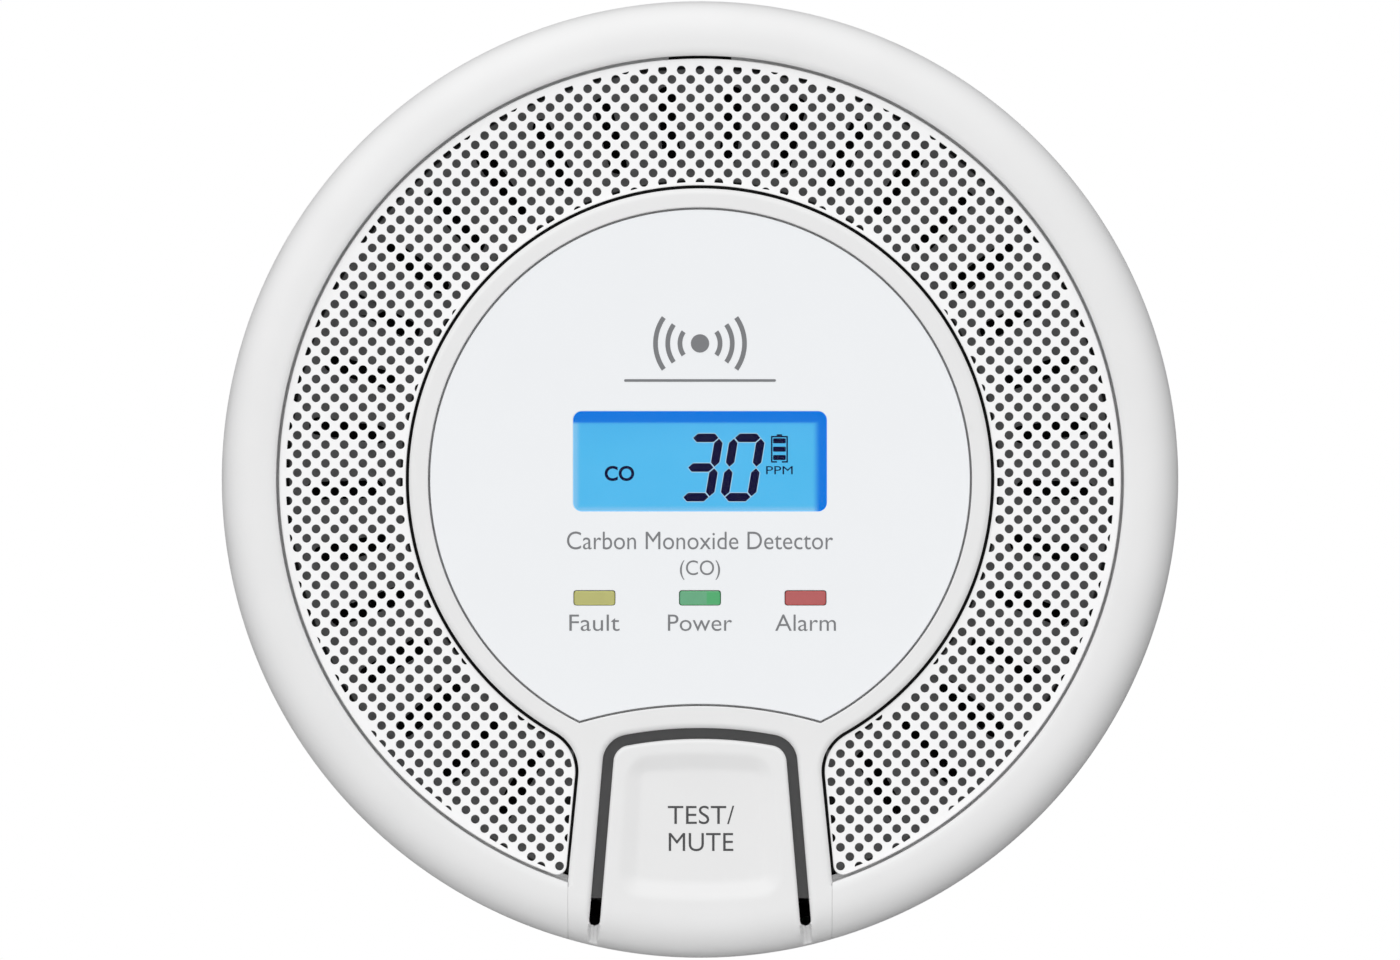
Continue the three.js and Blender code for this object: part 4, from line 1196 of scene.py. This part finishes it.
def grille_holes(outline):
    """Every hole of the punched pattern that the sheet's border leaves room for, clockwise."""
    at_rim = np.interp(-outline[:, 1], [38, 44], [0.77, 0.42])
    at_neck = np.interp(-outline[:, 1], [33, 35], [0.34, 0.16])
    border = np.where(np.hypot(*outline.T) > GRILLE_OUTER_R - 0.4, at_rim, at_neck)
    limit = offset(outline, border)
    turns = -np.arange(16) * 2 * math.pi / 16
    circle = HOLE_R * np.column_stack([np.cos(turns), np.sin(turns)])
    count = math.ceil(2 * GRILLE_OUTER_R / HOLE_ROW)
    centres = np.array([
        (i * HOLE_ROW, HOLE_TOP_Z - j * HOLE_ROW)
        for i in range(-count // 2, count // 2 + 1)
        for j in range(-1, count)
        if (i + j) % 2 == 0
    ])
    r = np.hypot(*centres.T)
    centres = centres[(r > GRILLE_INNER_R - 1) & (r < GRILLE_OUTER_R + 1)]
    gap = nearest_on(centres, limit)[1]
    within = inside(centres, limit)
    holes = [centre + circle for centre in centres[within & (gap > HOLE_R + 0.02)]]
    for centre in centres[gap <= HOLE_R + 0.02]:
        part = clipped(centre + circle, limit)
        if len(part) > 3 and -area(part) > 0.12:
            holes.append(part)
    return holes


def grille():
    """The punched sheet with its rolled border."""
    outline = grille_loop()
    loops = [(outline, round_edge(0.12, 3, 0.0), 1)]
    chamfer = [(0.03, 0), (0.0, 0.03)]
    loops += [(hole, chamfer, 1) for hole in grille_holes(outline)]
    piece = shell("grille_sheet", loops, at_level(GRILLE_FRONT), SHEET)
    return fitted(piece, "alarm", GRILLE_PAINT, "grille_white", "grille")


# ---------------------------------------------------------------- label, display and lights


def label():
    edge, window_edge = round_edge(0.1, 3, 0.05), round_edge(0.08, 2, 0.03)
    loops = with_holes(label_loop(0), edge, window_loops(0), window_edge)
    piece = shell("label_film", loops, at_level(LABEL_FRONT), LABEL_THICK)
    return fitted(piece, "alarm", LABEL_WHITE, "label_white", "label_panel")


INK_THICK = 0.02


def text_mesh(name, words, thin):
    """Words as a closed mesh in the built-in typeface, one unit high, lying in x and y."""
    data = bpy.data.curves.new(name, "FONT")
    data.body = words
    data.extrude = 0.01
    data.offset = -thin
    data.resolution_u = 6
    piece = bpy.data.objects.new(name, data)
    bpy.context.scene.collection.objects.link(piece)
    bpy.context.view_layer.update()
    made = bpy.data.meshes.new_from_object(piece.evaluated_get(bpy.context.evaluated_depsgraph_get()))
    bpy.data.objects.remove(piece)
    return made


def lettering(name, words, x, baseline, width, cap, level, material, slot, body, thin=0.004):
    """Words printed on a face, from their middle, baseline, width and the height of a capital."""
    made = text_mesh(name, words, thin)
    measure = text_mesh("measure", "H", thin)
    heights = [v.co.y for v in measure.vertices]
    bpy.data.meshes.remove(measure)
    tall = cap / (max(heights) - min(heights))
    across = [v.co.x for v in made.vertices]
    low, high = min(across), max(across)
    wide = width / (high - low)
    for v in made.vertices:
        px, pz, up = (v.co.x - (low + high) / 2) * wide + x, v.co.y * tall + baseline, v.co.z
        v.co = (px * MM, -(level + INK_THICK * (1 if up > 0 else 0)) * MM, pz * MM)
    piece = bpy.data.objects.new(name, made)
    bpy.context.scene.collection.objects.link(piece)
    closed_up(piece, 30)
    return fitted(piece, body, material, slot)


def printed(name, loop, level, material, slot):
    """A flat printed or etched shape, from its outline."""
    piece = shell(name, [(loop, FLAT_EDGE, 1)], at_level(level + INK_THICK), INK_THICK)
    return fitted(piece, "alarm", material, slot)


def label_print():
    """Generic words, and a plain sign of a sounding alarm over a thin rule."""
    face = LABEL_FRONT + 0.004
    on_label = (face, INK_GREY, "label_white", "alarm")
    lettering("print_title", "Carbon Monoxide Detector", 0, -8.0, 30.5, 2.0, *on_label)
    lettering("print_symbol", "(CO)", 0, -10.95, 4.6, 1.65, *on_label)
    for name, width in (("fault", 5.75), ("power", 7.35), ("alarm", 6.95)):
        lettering("print_" + name, name.title(), LIGHT_X[name], -17.35, width, 1.85, *on_label)
    centre_z, spread, half_line = 15.6, 0.62, 0.27
    dot = circle(0, centre_z, 1.05, 0.15)
    printed("print_sign_dot", dot, face, INK_GREY, "label_white")
    for index, r in enumerate((2.3, 3.7, 5.1)):
        for side, middle_angle in (("right", 0.0), ("left", math.pi)):
            start, end = middle_angle - spread, middle_angle + spread
            outer = arc(0, centre_z, r + half_line, start, end, 0.2)
            inner = arc(0, centre_z, r - half_line, end, start, 0.2)
            name = f"print_sign_{side}_{index + 1}"
            printed(name, joined(outer, inner), face, INK_GREY, "label_white")
    rule = rounded_box(0, 11.35, 17.4, 0.3, 0.14, 0.08)
    printed("print_rule", rule, face, INK_GREY, "label_white")


def bar(start, end, thick):
    """A display segment: a bar with pointed ends, anticlockwise."""
    start, end = np.array(start, float), np.array(end, float)
    ahead = (end - start) / np.linalg.norm(end - start)
    left = np.array([-ahead[1], ahead[0]]) * thick / 2
    point = ahead * thick / 2
    foot = [start, start + point - left, end - point - left]
    return np.array([*foot, end, end - point + left, start + point + left])


def digit(name, segments, x, level):
    """A slanted seven-segment digit about the middle of its top bar."""
    wide, tall, gap, slant = 3.1, 6.81, 0.09, 0.166
    top = 4.78
    corners = {
        "a": ((0, tall), (wide, tall)),
        "b": ((wide, tall), (wide, tall / 2)),
        "c": ((wide, tall / 2), (wide, 0)),
        "d": ((0, 0), (wide, 0)),
        "e": ((0, tall / 2), (0, 0)),
        "f": ((0, tall), (0, tall / 2)),
        "g": ((0, tall / 2), (wide, tall / 2)),
    }
    for key in segments:
        start, end = np.array(corners[key], float)
        ahead = (end - start) / np.linalg.norm(end - start) * gap
        halo_level = level - 0.03 + 0.0015 * "abcdefg".index(key)
        for kind, trim, thick, at in (("", 1, 0.98, level), ("_halo", 0.1, 1.14, halo_level)):
            points = bar(start + ahead * trim, end - ahead * trim, thick)
            points[:, 0] += x - wide / 2 - (tall - points[:, 1]) * slant
            points[:, 1] += top - tall
            printed(f"{name}_{key}{kind}", points, at, HALO if kind else NAVY, "lcd_blue")


def display():
    """The lit glass with its segments and signs, behind the clear window."""
    x, z, _ = middle("lcd_glass")
    front, back = front_of("lcd_glass"), back_of("lcd_glass")
    glass = block("lcd_display_glass", x, z, 33, 14.8, back, front, 0.1, 0.3)
    fitted(glass, "alarm", DISPLAY, "lcd_blue", "lcd_glass")
    face = front + 0.03
    digit("lcd_tens", "abcdg", 0.66, face)
    digit("lcd_units", "abcdef", 5.47, face)
    on_glass = (face, NAVY, "lcd_blue", "alarm")
    lettering("lcd_gas", "CO", -9.25, -0.1, 3.4, 1.7, *on_glass, thin=-0.024)
    lettering("lcd_unit", "PPM", 9.12, 0.6, 3.05, 0.93, *on_glass, thin=0)
    left, right, foot, top, thin = 8.15, 10.09, 2.02, 4.92, 0.17
    boxes = {
        "left": (left + thin / 2, (foot + top) / 2, thin, top - foot),
        "right": (right - thin / 2, (foot + top) / 2, thin, top - foot),
        "top": ((left + right) / 2, top, right - left, thin),
        "foot_left": (left + 0.35, foot, 0.7, thin),
        "foot_right": (right - 0.35, foot, 0.7, thin),
        "nub": ((left + right) / 2, top + 0.17, 0.62, 0.2),
        "cell_1": ((left + right) / 2, 2.52, 1.46, 0.58),
        "cell_2": ((left + right) / 2, 3.48, 1.46, 0.58),
        "cell_3": ((left + right) / 2, 4.44, 1.46, 0.58),
    }
    for key, (bx, bz, w, h) in boxes.items():
        box = rounded_box(bx, bz, w, h, min(w, h) * 0.2, 0.03)
        printed("lcd_battery_" + key, box, face, NAVY, "lcd_blue")
    outline = rounded_box(LCD_X, LCD_Z, LCD_W - 0.24, LCD_H - 0.24, 0.85)
    level = front_of("lcd_window")
    loops = [(outline, round_edge(0.12, 3, 0.0), 1)]
    pane = shell("lcd_window_pane", loops, at_level(level), 1.1, back_r=0.1)
    fitted(pane, "alarm", PANE, "window_clear", "lcd_window")


def lights():
    slots = {"fault": "lens_yellow", "power": "lens_green", "alarm": "lens_red"}
    for name, x in LIGHT_X.items():
        node = "led_lens_" + name
        front, back = front_of(node), back_of(node)
        w, h, r = LIGHT
        outline = rounded_box(x, LIGHT_Z, w - 0.12, h - 0.12, r, 0.06)
        profile = round_edge(0.16, 4, 0.06)
        piece = shell("light_pipe_" + name, [(outline, profile, 1)], at_level(front), front - back)
        fitted(piece, "alarm", LENSES[name], slots[name], node)


def button_print():
    face = FRONT - DISH_DEEP + 0.004
    on_button = (face, INK_DARK, "case_white", "button")
    lettering("print_test", "TEST/", 0.12, -39.5, 7.6, 2.05, *on_button)
    lettering("print_mute", "MUTE", 0.12, -42.6, 7.4, 2.05, *on_button)


# ---------------------------------------------------------------- inside the front


def polar(r, degrees):
    return r * math.cos(math.radians(degrees)), r * math.sin(math.radians(degrees))


def circle(x, z, r, step=0.5):
    return arc(x, z, r, 0, 2 * math.pi, step)[:-1]


def vent(angle):
    """A radial opening with round ends, clockwise."""
    along = np.array([math.cos(angle), math.sin(angle)])
    start, end = along * (VENT_INNER_R + VENT_HALF), along * (VENT_OUTER_R - VENT_HALF)
    quarter = math.pi / 2
    near = arc(*start, VENT_HALF, angle + quarter, angle + 3 * quarter, 0.2)
    far = arc(*end, VENT_HALF, angle - quarter, angle + quarter, 0.2)
    return joined(near, far)[::-1]


VENT_ANGLES = [
    math.radians(90 + side * (VENT_FIRST + k * VENT_STEP)) for k in range(VENT_COUNT) for side in (-1, 1)
]


def inner_cover():
    """The moulded cover behind the grille, with its vents, flange and screw posts."""
    half = FOOT_HALF - 0.3
    turn = math.acos(half / COVER_R)
    outline = joined(arc(0, 0, COVER_R, -turn, math.pi + turn), [(-half, COVER_FOOT), (half, COVER_FOOT)])
    holes = [rounded_box(LCD_X, LCD_Z, 37.6, 18.4, 0.8), rounded_box(0, SWITCH_Z, 6.8, 6.8, 0.6)]
    holes += [rounded_box(x, LIGHT_Z, LIGHT[0] + 0.8, LIGHT[1] + 0.8, 0.4) for x in LIGHT_X.values()]
    loops = with_holes(outline, round_edge(0.15, 3, 0.05), holes, round_edge(0.12, 2, 0.03))
    loops += [(vent(angle), round_edge(0.1, 2, 0.03), 1) for angle in VENT_ANGLES]
    front, back = front_of("inner_cover"), 30.7
    piece = shell("inner_cover_shell", loops, at_level(front), front - back)
    turn = math.asin(-COVER_FOOT / 51.4)
    flange = joined(arc(0, 0, 51.4, -turn, math.pi + turn))
    inner = joined(arc(0, 0, 46, -turn * 0.9, math.pi + turn * 0.9))
    rim = shell("flange", with_holes(flange, FLAT_EDGE, [inner], FLAT_EDGE), at_level(30.8), 1.2)
    add(piece, rim)
    for degrees in POST_ANGLES:
        post = lathe("post", [(1.4, 8), (3.2, 8), (3.2, 30.9), (1.4, 30.9)], *polar(POST_R, degrees), 32)
        add(piece, post)
    return fitted(piece, "alarm", COVER_AND_PAINTED_SHADE, "dark_grey_plastic", "inner_cover")


def dust_mesh_and_vent_shade():
    """Fine black mesh behind the vents, with room for the screw posts; its black also stands in for the
    shade inside the case, seen through the vents.
    """
    loops = with_holes(circle(0, 0, 45.4), FLAT_EDGE, [circle(0, 0, 35.8)], FLAT_EDGE)
    piece = shell("dust_mesh_and_vent_shade", loops, at_level(30.45), 0.35)
    for degrees in POST_ANGLES:
        x, z = polar(POST_R, degrees)
        cut(piece, shell("room", [(circle(x, z, 3.5), FLAT_EDGE, 1)], at_level(31), 2))
    return fitted(piece, "alarm", MESH_BLACK, "black_plastic")


def turned(node, name, profile, x, z, material, slot, r=0.2, segments=64):
    """A turned piece that stands for a node."""
    piece = lathe(name, softened(profile, r), x, z, segments)
    return fitted(piece, "alarm", material, slot, node)


def sensor():
    x, z = -27, -22
    can = lathe("co_sensor_can", softened([
        (0, 11), (9.2, 11), (9.2, 13), (10, 13.6), (10, 24.9), (9.6, 24.9), (9.6, 24.6), (0, 24.6),
    ], 0.3), x, z, 72)
    pins = []
    for degrees in (90, 210, 330):
        px, pz = polar(5, degrees)
        profile = softened([(0, 24), (0.5, 24), (0.5, 28.2), (0, 28.2)], 0.15)
        pins.append(lathe("pin", profile, x + px, z + pz, 16))
    piece = together("co_sensor_body", [can, *pins])
    fitted(piece, "alarm", STEEL, "steel", "co_sensor")
    cap = [(1.2, 9.3), (10, 9.3), (10, 12.6), (9.55, 12.6), (9.55, 10.7), (1.2, 10.7)]
    turned("co_sensor_cap", "co_sensor_filter_cap", cap, x, z, BLACK_PLASTIC, "black_plastic")


def buzzer():
    z = 31
    housing = [(11.2, 17), (13.4, 17), (13.4, 29.3), (12.2, 29.3), (9.5, 21), (9.5, 19.8), (11.2, 19.8)]
    turned("buzzer_housing", "buzzer_horn", housing, 0, z, BLACK_PLASTIC, "black_plastic", 0.4, 96)
    disc = [(0, 18.8), (7, 18.8), (7, 19.1), (10.8, 19.1), (10.8, 19.5), (0, 19.5)]
    turned("piezo_disc", "piezo_element", disc, 0, z, BRASS, "brass", 0.05, 96)
    cap = [(1.5, 17.2), (10.9, 17.2), (10.9, 18.4), (1.5, 18.4)]
    turned("buzzer_back_cap", "buzzer_cap", cap, 0, z, BLACK_PLASTIC, "black_plastic", 0.25, 96)
    lead("red", 1, RED_WIRE, "wire_red")
    lead("black", -1, BLACK_RUBBER, "black_rubber")


def lead(name, side, material, slot):
    """A wire from the sounder's back to the circuit board."""
    knots = [(0.9, 31, 16.4), (2.5, 26, 15.2), (4.5, 18.5, 15.8), (6, 14, 19), (6.2, 13.6, 25.4)]
    path = eased([(side * x, z, level) for x, z, level in knots], 40)
    fitted(tube("buzzer_lead_" + name, path, 0.55), "alarm", material, slot, "buzzer_wire_" + name)


def eased(knots, count):
    """Points on a smooth curve through knots."""
    knots = np.array(knots, float)
    padded = np.vstack([2 * knots[0] - knots[1], knots, 2 * knots[-1] - knots[-2]])
    out = []
    for share in np.linspace(0, len(knots) - 1, count):
        k = min(int(share), len(knots) - 2)
        t = share - k
        a, b, c, d = padded[k:k + 4]
        bend, twist = 2 * a - 5 * b + 4 * c - d, 3 * b - a - 3 * c + d
        out.append(0.5 * (2 * b + (c - a) * t + bend * t**2 + twist * t**3))
    return np.array(out)


def board_parts():
    for name, x, z, r, back in (("large", 24, -22, 4, 13.5), ("small", 14, -18, 2.5, 18.5)):
        groove = [(r, 24.3), (r - 0.25, 24.0), (r - 0.25, 23.6), (r, 23.3)]
        profile = [(0, back + 0.15), (r - 0.7, back + 0.15), (r - 0.6, back), (r, back)]
        can = [*profile[:-1], (r - 0.3, back), (r, back + 0.5), *groove[::-1], (r, 25.4), (0, 25.4)]
        turned("capacitor_" + name, "electrolytic_" + name, can, x, z, SLEEVE, "capacitor_sleeve", 0.12, 48)
    rows = [(3.3 + 0.28 * (k % 2), 21.35 + 0.26 * k) for k in range(11)]
    profile = [(0, 20), (4.4, 20), (4.4, 21.2), *rows, (4.4, 24.3), (4.4, 25.4), (0, 25.4)]
    turned("boost_inductor", "drum_inductor", profile, 33, -6, FERRITE, "ferrite", 0.08, 48)


def screws():
    for index, degrees in enumerate(POST_ANGLES):
        x, z = polar(POST_R, degrees)
        thread = [(1.1 - 0.22 * (k % 2), 7 + 0.4 * k) for k in range(32)]
        profile = [(0, 4.2), (2.0, 4.2), (2.6, 4.8), (2.6, 6.3), (1.1, 6.3), *thread, (0, 20)]
        piece = lathe(f"case_screw_{index + 1}", softened(profile, 0.12, 2), x, z, 32)
        for w, h in ((3.2, 0.7), (0.7, 3.2)):
            cut(piece, block("cross", x, z, w, h, 3, 5.3, 0.05, 0.1))
        fitted(piece, "alarm", STEEL, "steel", f"housing_screw_{index + 1}")


# ---------------------------------------------------------------- battery bay, back and bracket


def power():
    """The cell with its contacts."""
    tail, shoulder, tip = -15.6, 17.5, 18.9
    level, r = 14.4, 8.4
    body = [(0, tail), (6.4, tail), (6.6, tail + 0.25), (7.6, tail + 0.25), (r, tail + 0.5)]
    body += [(r, shoulder - 0.5), (r - 0.6, shoulder), (3.2, shoulder)]
    body += [(3.2, tip - 0.3), (2.9, tip), (0, tip)]
    cell = lathe_along_x("battery_cell", softened(body, 0.15), 0, level, 96)
    fitted(cell, "alarm", WRAP, "battery_wrap", "battery")
    contact = block("contact_plate", 19.4, 0, 0.4, 11, 8, 22.4, 0.08, 0.12)
    fitted(contact, "alarm", STEEL, "steel", "battery_contact")
    plate = block("spring_plate", -19.4, 0, 0.4, 13, 8, 21, 0.08, 0.12)
    turns = np.linspace(0, 3, 110)
    radius = 5.6 - 2.4 * turns / 3
    x = -19.1 + 2.9 * turns / 3
    angle = turns * 2 * math.pi
    coil = np.column_stack([x, radius * np.sin(angle), level + radius * np.cos(angle)])
    spring = together("contact_spring", [plate, tube("coil", coil, 0.4)])
    fitted(spring, "alarm", STEEL, "steel", "battery_spring")


def rear_housing():
    """The back shell with its skirt, screw recesses and battery bay."""
    turn = np.linspace(math.pi / 2, 0, 16)
    top = 15.3
    side = np.column_stack([50.5 + 3.3 * np.sin(turn), 1 + (top - 1) * (1 - np.cos(turn))])
    profile = np.vstack([
        [(0, 5.6), (48.2, 5.6), (50.4, 8), (51.8, top)],
        side[:-1],
        [(50.45, 1.15), (50.2, 1), (48.6, 1), (48.4, 1.2), (47.6, 3.6), (0, 3.6)],
    ])
    piece = lathe("rear_housing_shell", profile, segments=240)
    for mid in (90, 210, 330):
        add(piece, sector_plate("ledge", 46.4, 49, mid - 6, mid + 6, 1, 2))
    for degrees in POST_ANGLES:
        x, z = polar(POST_R, degrees)
        add(piece, lathe("boss", [(0, 5), (4.4, 5), (4.4, 7.6), (0, 7.6)], x, z, 48))
        well = [(0, 2), (3.2, 2), (2.9, 3.9), (2.9, 6.6), (1.5, 6.6), (1.5, 9), (0, 9)]
        cut(piece, lathe("hole", well, x, z, 48))
    add(piece, block("bay", 0, 0, 42.8, 21.6, 5.1, 25.1, 0.4, 1.6))
    cut(piece, block("cavity", 0, 0, 39.8, 18.6, 2, 23.7, 0.3, 0.8))
    cut(piece, block("seat", 0, 0, 43.2, 22.4, 2, 5.3, 0.05, 0.9))
    cut(piece, block("trough", 0, -11.1, 40.6, 3, 2, 6.2, 0.3, 0.4))
    pin = lathe_along_x("pin_hole", [(0, -22), (0.95, -22), (0.95, 22), (0, 22)], -11, 4.7, 24)
    cut(piece, pin)
    thumb = [(0, 2), (5, 2), (5, 4.3), (4.5, 4.8), (0, 4.8)]
    cut(piece, lathe("notch", thumb, 0, 12.1, 64))
    return fitted(piece, "alarm", CASE_WHITE, "case_white", "rear_housing")


def joint_shadow_ring():
    """A soft black ring in the joint between the two halves of the case: painted shade, which makes what
    shows through the tip of the button's slot black.
    """
    inner, outer = 50.4, 53.2
    front, back = PARTING - 0.02, 15.32
    profile = [(inner, back), (outer, back), (outer, front), (inner, front)]
    piece = lathe("joint_shadow_ring", profile, segments=160)
    return fitted(piece, "alarm", BLACK_RUBBER, "black_rubber")


def sector_plate(name, inner, outer, start, end, back, front):
    """A flat sector of a ring between two radii, angles in degrees and levels."""
    start, end = math.radians(start), math.radians(end)
    loop = joined(arc(0, 0, outer, start, end), arc(0, 0, inner, end, start))
    profile = round_edge(0.15, 3, 0.03)
    return shell(name, [(loop, profile, 1)], at_level(front), front - back, back_r=0.1)


def arc_slot(r, width, middle_angle, half):
    """A curved opening with round ends, anticlockwise."""
    start, end = math.radians(middle_angle - half), math.radians(middle_angle + half)
    cap = width / 2
    near, far = (r * np.array([math.cos(t), math.sin(t)]) for t in (start, end))
    return joined(
        arc(0, 0, r + cap, start, end),
        arc(*far, cap, end, end + math.pi),
        arc(0, 0, r - cap, end, start),
        arc(*near, cap, start + math.pi, start + 2 * math.pi),
    )


def keyhole(x):
    """A round opening for a screw's head with a narrower slot above it, anticlockwise."""
    turn = math.acos(2.5 / 4.6)
    head = arc(x, -4, 4.6, math.pi - turn, 2 * math.pi + turn)
    return joined(arc(x, 5, 2.5, 0, math.pi), head)


def bracket():
    """The wall plate, with keyholes and curved slots for screws, and lugs for the twist lock."""
    holes = [circle(0, 0, 26), keyhole(-35.5), keyhole(35.5)]
    holes += [arc_slot(36, 5.4, middle_angle, 17) for middle_angle in (90, 270)]
    edge, hole_edge = round_edge(0.25, 3, 0.05), round_edge(0.35, 3, 0.05)
    loops = with_holes(circle(0, 0, 46), edge, holes, hole_edge)
    piece = shell("bracket_plate", loops, at_level(2), 2, back_r=0.2)
    for inner, outer, front in ((44.6, 46, 3.3), (26, 27.5, 3)):
        profile = softened([(inner, 1), (outer, 1), (outer, front), (inner, front)], 0.25)
        add(piece, lathe("rim", profile, segments=180))
    for middle_angle in (90, 210, 330):
        lug = sector_plate("lug", 45.5, 47.3, middle_angle - 8, middle_angle + 8, 2.3, 3.25)
        stop = sector_plate("stop", 45.5, 47.3, middle_angle - 8, middle_angle - 6.7, 1, 3.2)
        add(piece, lug)
        add(piece, stop)
    return fitted(piece, "bracket", BRACKET_WHITE, "bracket_white", "mounting_bracket")


def battery_door():
    """The flap over the bay, on its hinge barrel, with thumb grips."""
    outline = rounded_box(0, -0.05, 40.2, 21.9, 0.9)
    piece = shell("battery_flap", [(outline, round_edge(0.2, 3, 0.05), 1)], at_level(5), 1.2, back_r=0.3)
    half = 20
    barrel = [(0, -half - 1.3), (0.6, -half - 1.3), (0.6, -half), (1.1, -half)]
    barrel += [(r, -x) for r, x in reversed(barrel)]
    add(piece, lathe_along_x("barrel", softened(barrel, 0.12), -11, 4.7, 32))
    for z in (3.4, 5, 6.6):
        cut(piece, block("grip", 0, z, 9, 0.6, 3, 4.2, 0.1, 0.28))
    return fitted(piece, "door", CASE_WHITE, "case_white", "battery_door")


def hidden_nodes():
    """Small parts that keep their frame shapes get rounded edges and their materials."""
    looks = {
        "lcd_backlight": DIFFUSER, "lcd_holder": BRACKET_WHITE, "lcd_zebra_strip": BLACK_RUBBER,
        "led_fault": LED_PACKAGE, "led_power": LED_PACKAGE, "led_alarm": LED_PACKAGE,
        "main_pcb": BOARD, "microcontroller": BLACK_PLASTIC, "switch_body": BLACK_PLASTIC,
        "switch_plunger": PLUNGER_GREY,
    }
    for node, material in looks.items():
        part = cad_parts[node]
        part.data.materials.clear()
        part.data.materials.append(material)
        bevel = part.modifiers.new("soft edges", "BEVEL")
        bevel.width = 0.15 * MM
        bevel.segments = 2
        bevel.limit_method = "ANGLE"
        bevel.angle_limit = math.radians(50)


# ---------------------------------------------------------------- scene


def camera():
    """Far in front, looking straight at the face."""
    data = bpy.data.cameras.new("camera")
    data.sensor_width = 36
    data.lens = 400
    data.clip_end = 10
    made = bpy.data.objects.new("camera", data)
    made.location = (0, -1.818, -0.00006)
    made.rotation_euler = (math.pi / 2, 0, 0)
    bpy.context.scene.collection.objects.link(made)
    bpy.context.scene.camera = made
    bpy.context.scene.view_settings.view_transform = "Standard"


def studio():
    """A white studio: soft light from all round, strongest from the front, above and the left."""
    world = bpy.data.worlds.new("studio")
    bpy.context.scene.world = world
    world.use_nodes = True
    nodes, link = world.node_tree.nodes, world.node_tree.links.new
    white = (1, 1, 1, 1)
    shade = nodes["Background"]
    shade.inputs["Color"].default_value = white
    backdrop = nodes.new("ShaderNodeBackground")
    backdrop.inputs["Color"].default_value = white
    place = nodes.new("ShaderNodeTexCoord").outputs["Generated"]
    aim = nodes.new("ShaderNodeVectorMath")
    aim.operation = "DOT_PRODUCT"
    left, front, up = 0.145, 0.66, 0.527
    aim.inputs[1].default_value = (-left, -front, up)
    link(place, aim.inputs[0])
    strength = aim.outputs["Value"]
    for operation, number in (("ADD", 0.508), ("MAXIMUM", 0.05)):
        sum_of = nodes.new("ShaderNodeMath")
        sum_of.operation = operation
        sum_of.inputs[1].default_value = number
        link(strength, sum_of.inputs[0])
        strength = sum_of.outputs["Value"]
    link(strength, shade.inputs["Strength"])
    mix = nodes.new("ShaderNodeMixShader")
    link(nodes.new("ShaderNodeLightPath").outputs["Is Camera Ray"], mix.inputs["Fac"])
    link(shade.outputs["Background"], mix.inputs[1])
    link(backdrop.outputs["Background"], mix.inputs[2])
    link(mix.outputs["Shader"], nodes["World Output"].inputs["Surface"])


def back_light():
    """A soft box on the axis behind the object, for its back alone."""
    lamp = bpy.data.objects.new("back_softbox", bpy.data.lights.new("back_softbox", "AREA"))
    lamp.data.size = 0.5
    lamp.data.energy = 8
    lamp.location = (0, 1.2, 0)
    lamp.rotation_euler = (-math.pi / 2, 0, 0)
    lamp.visible_camera = False
    lamp.visible_glossy = False
    bpy.context.scene.collection.objects.link(lamp)


def pale_floor():
    """A plain pale floor, well below the object."""
    piece = lathe("floor_disc", [(0, 0), (600, 0), (600, 10), (0, 10)], segments=128)
    piece.rotation_euler = (math.pi / 2, 0, 0)
    piece.location = (0, 0, -1.2)
    piece.data.materials.append(plastic("pale floor", (0.8, 0.8, 0.8), 0.8, 0.02, 30, 0.2))


camera()
studio()
back_light()
pale_floor()
front_ring()
bezel()
test_button()
button_post()
grille()
label()
label_print()
display()
lights()
button_print()
inner_cover()
dust_mesh_and_vent_shade()
sensor()
buzzer()
board_parts()
screws()
power()
rear_housing()
joint_shadow_ring()
bracket()
battery_door()
hidden_nodes()
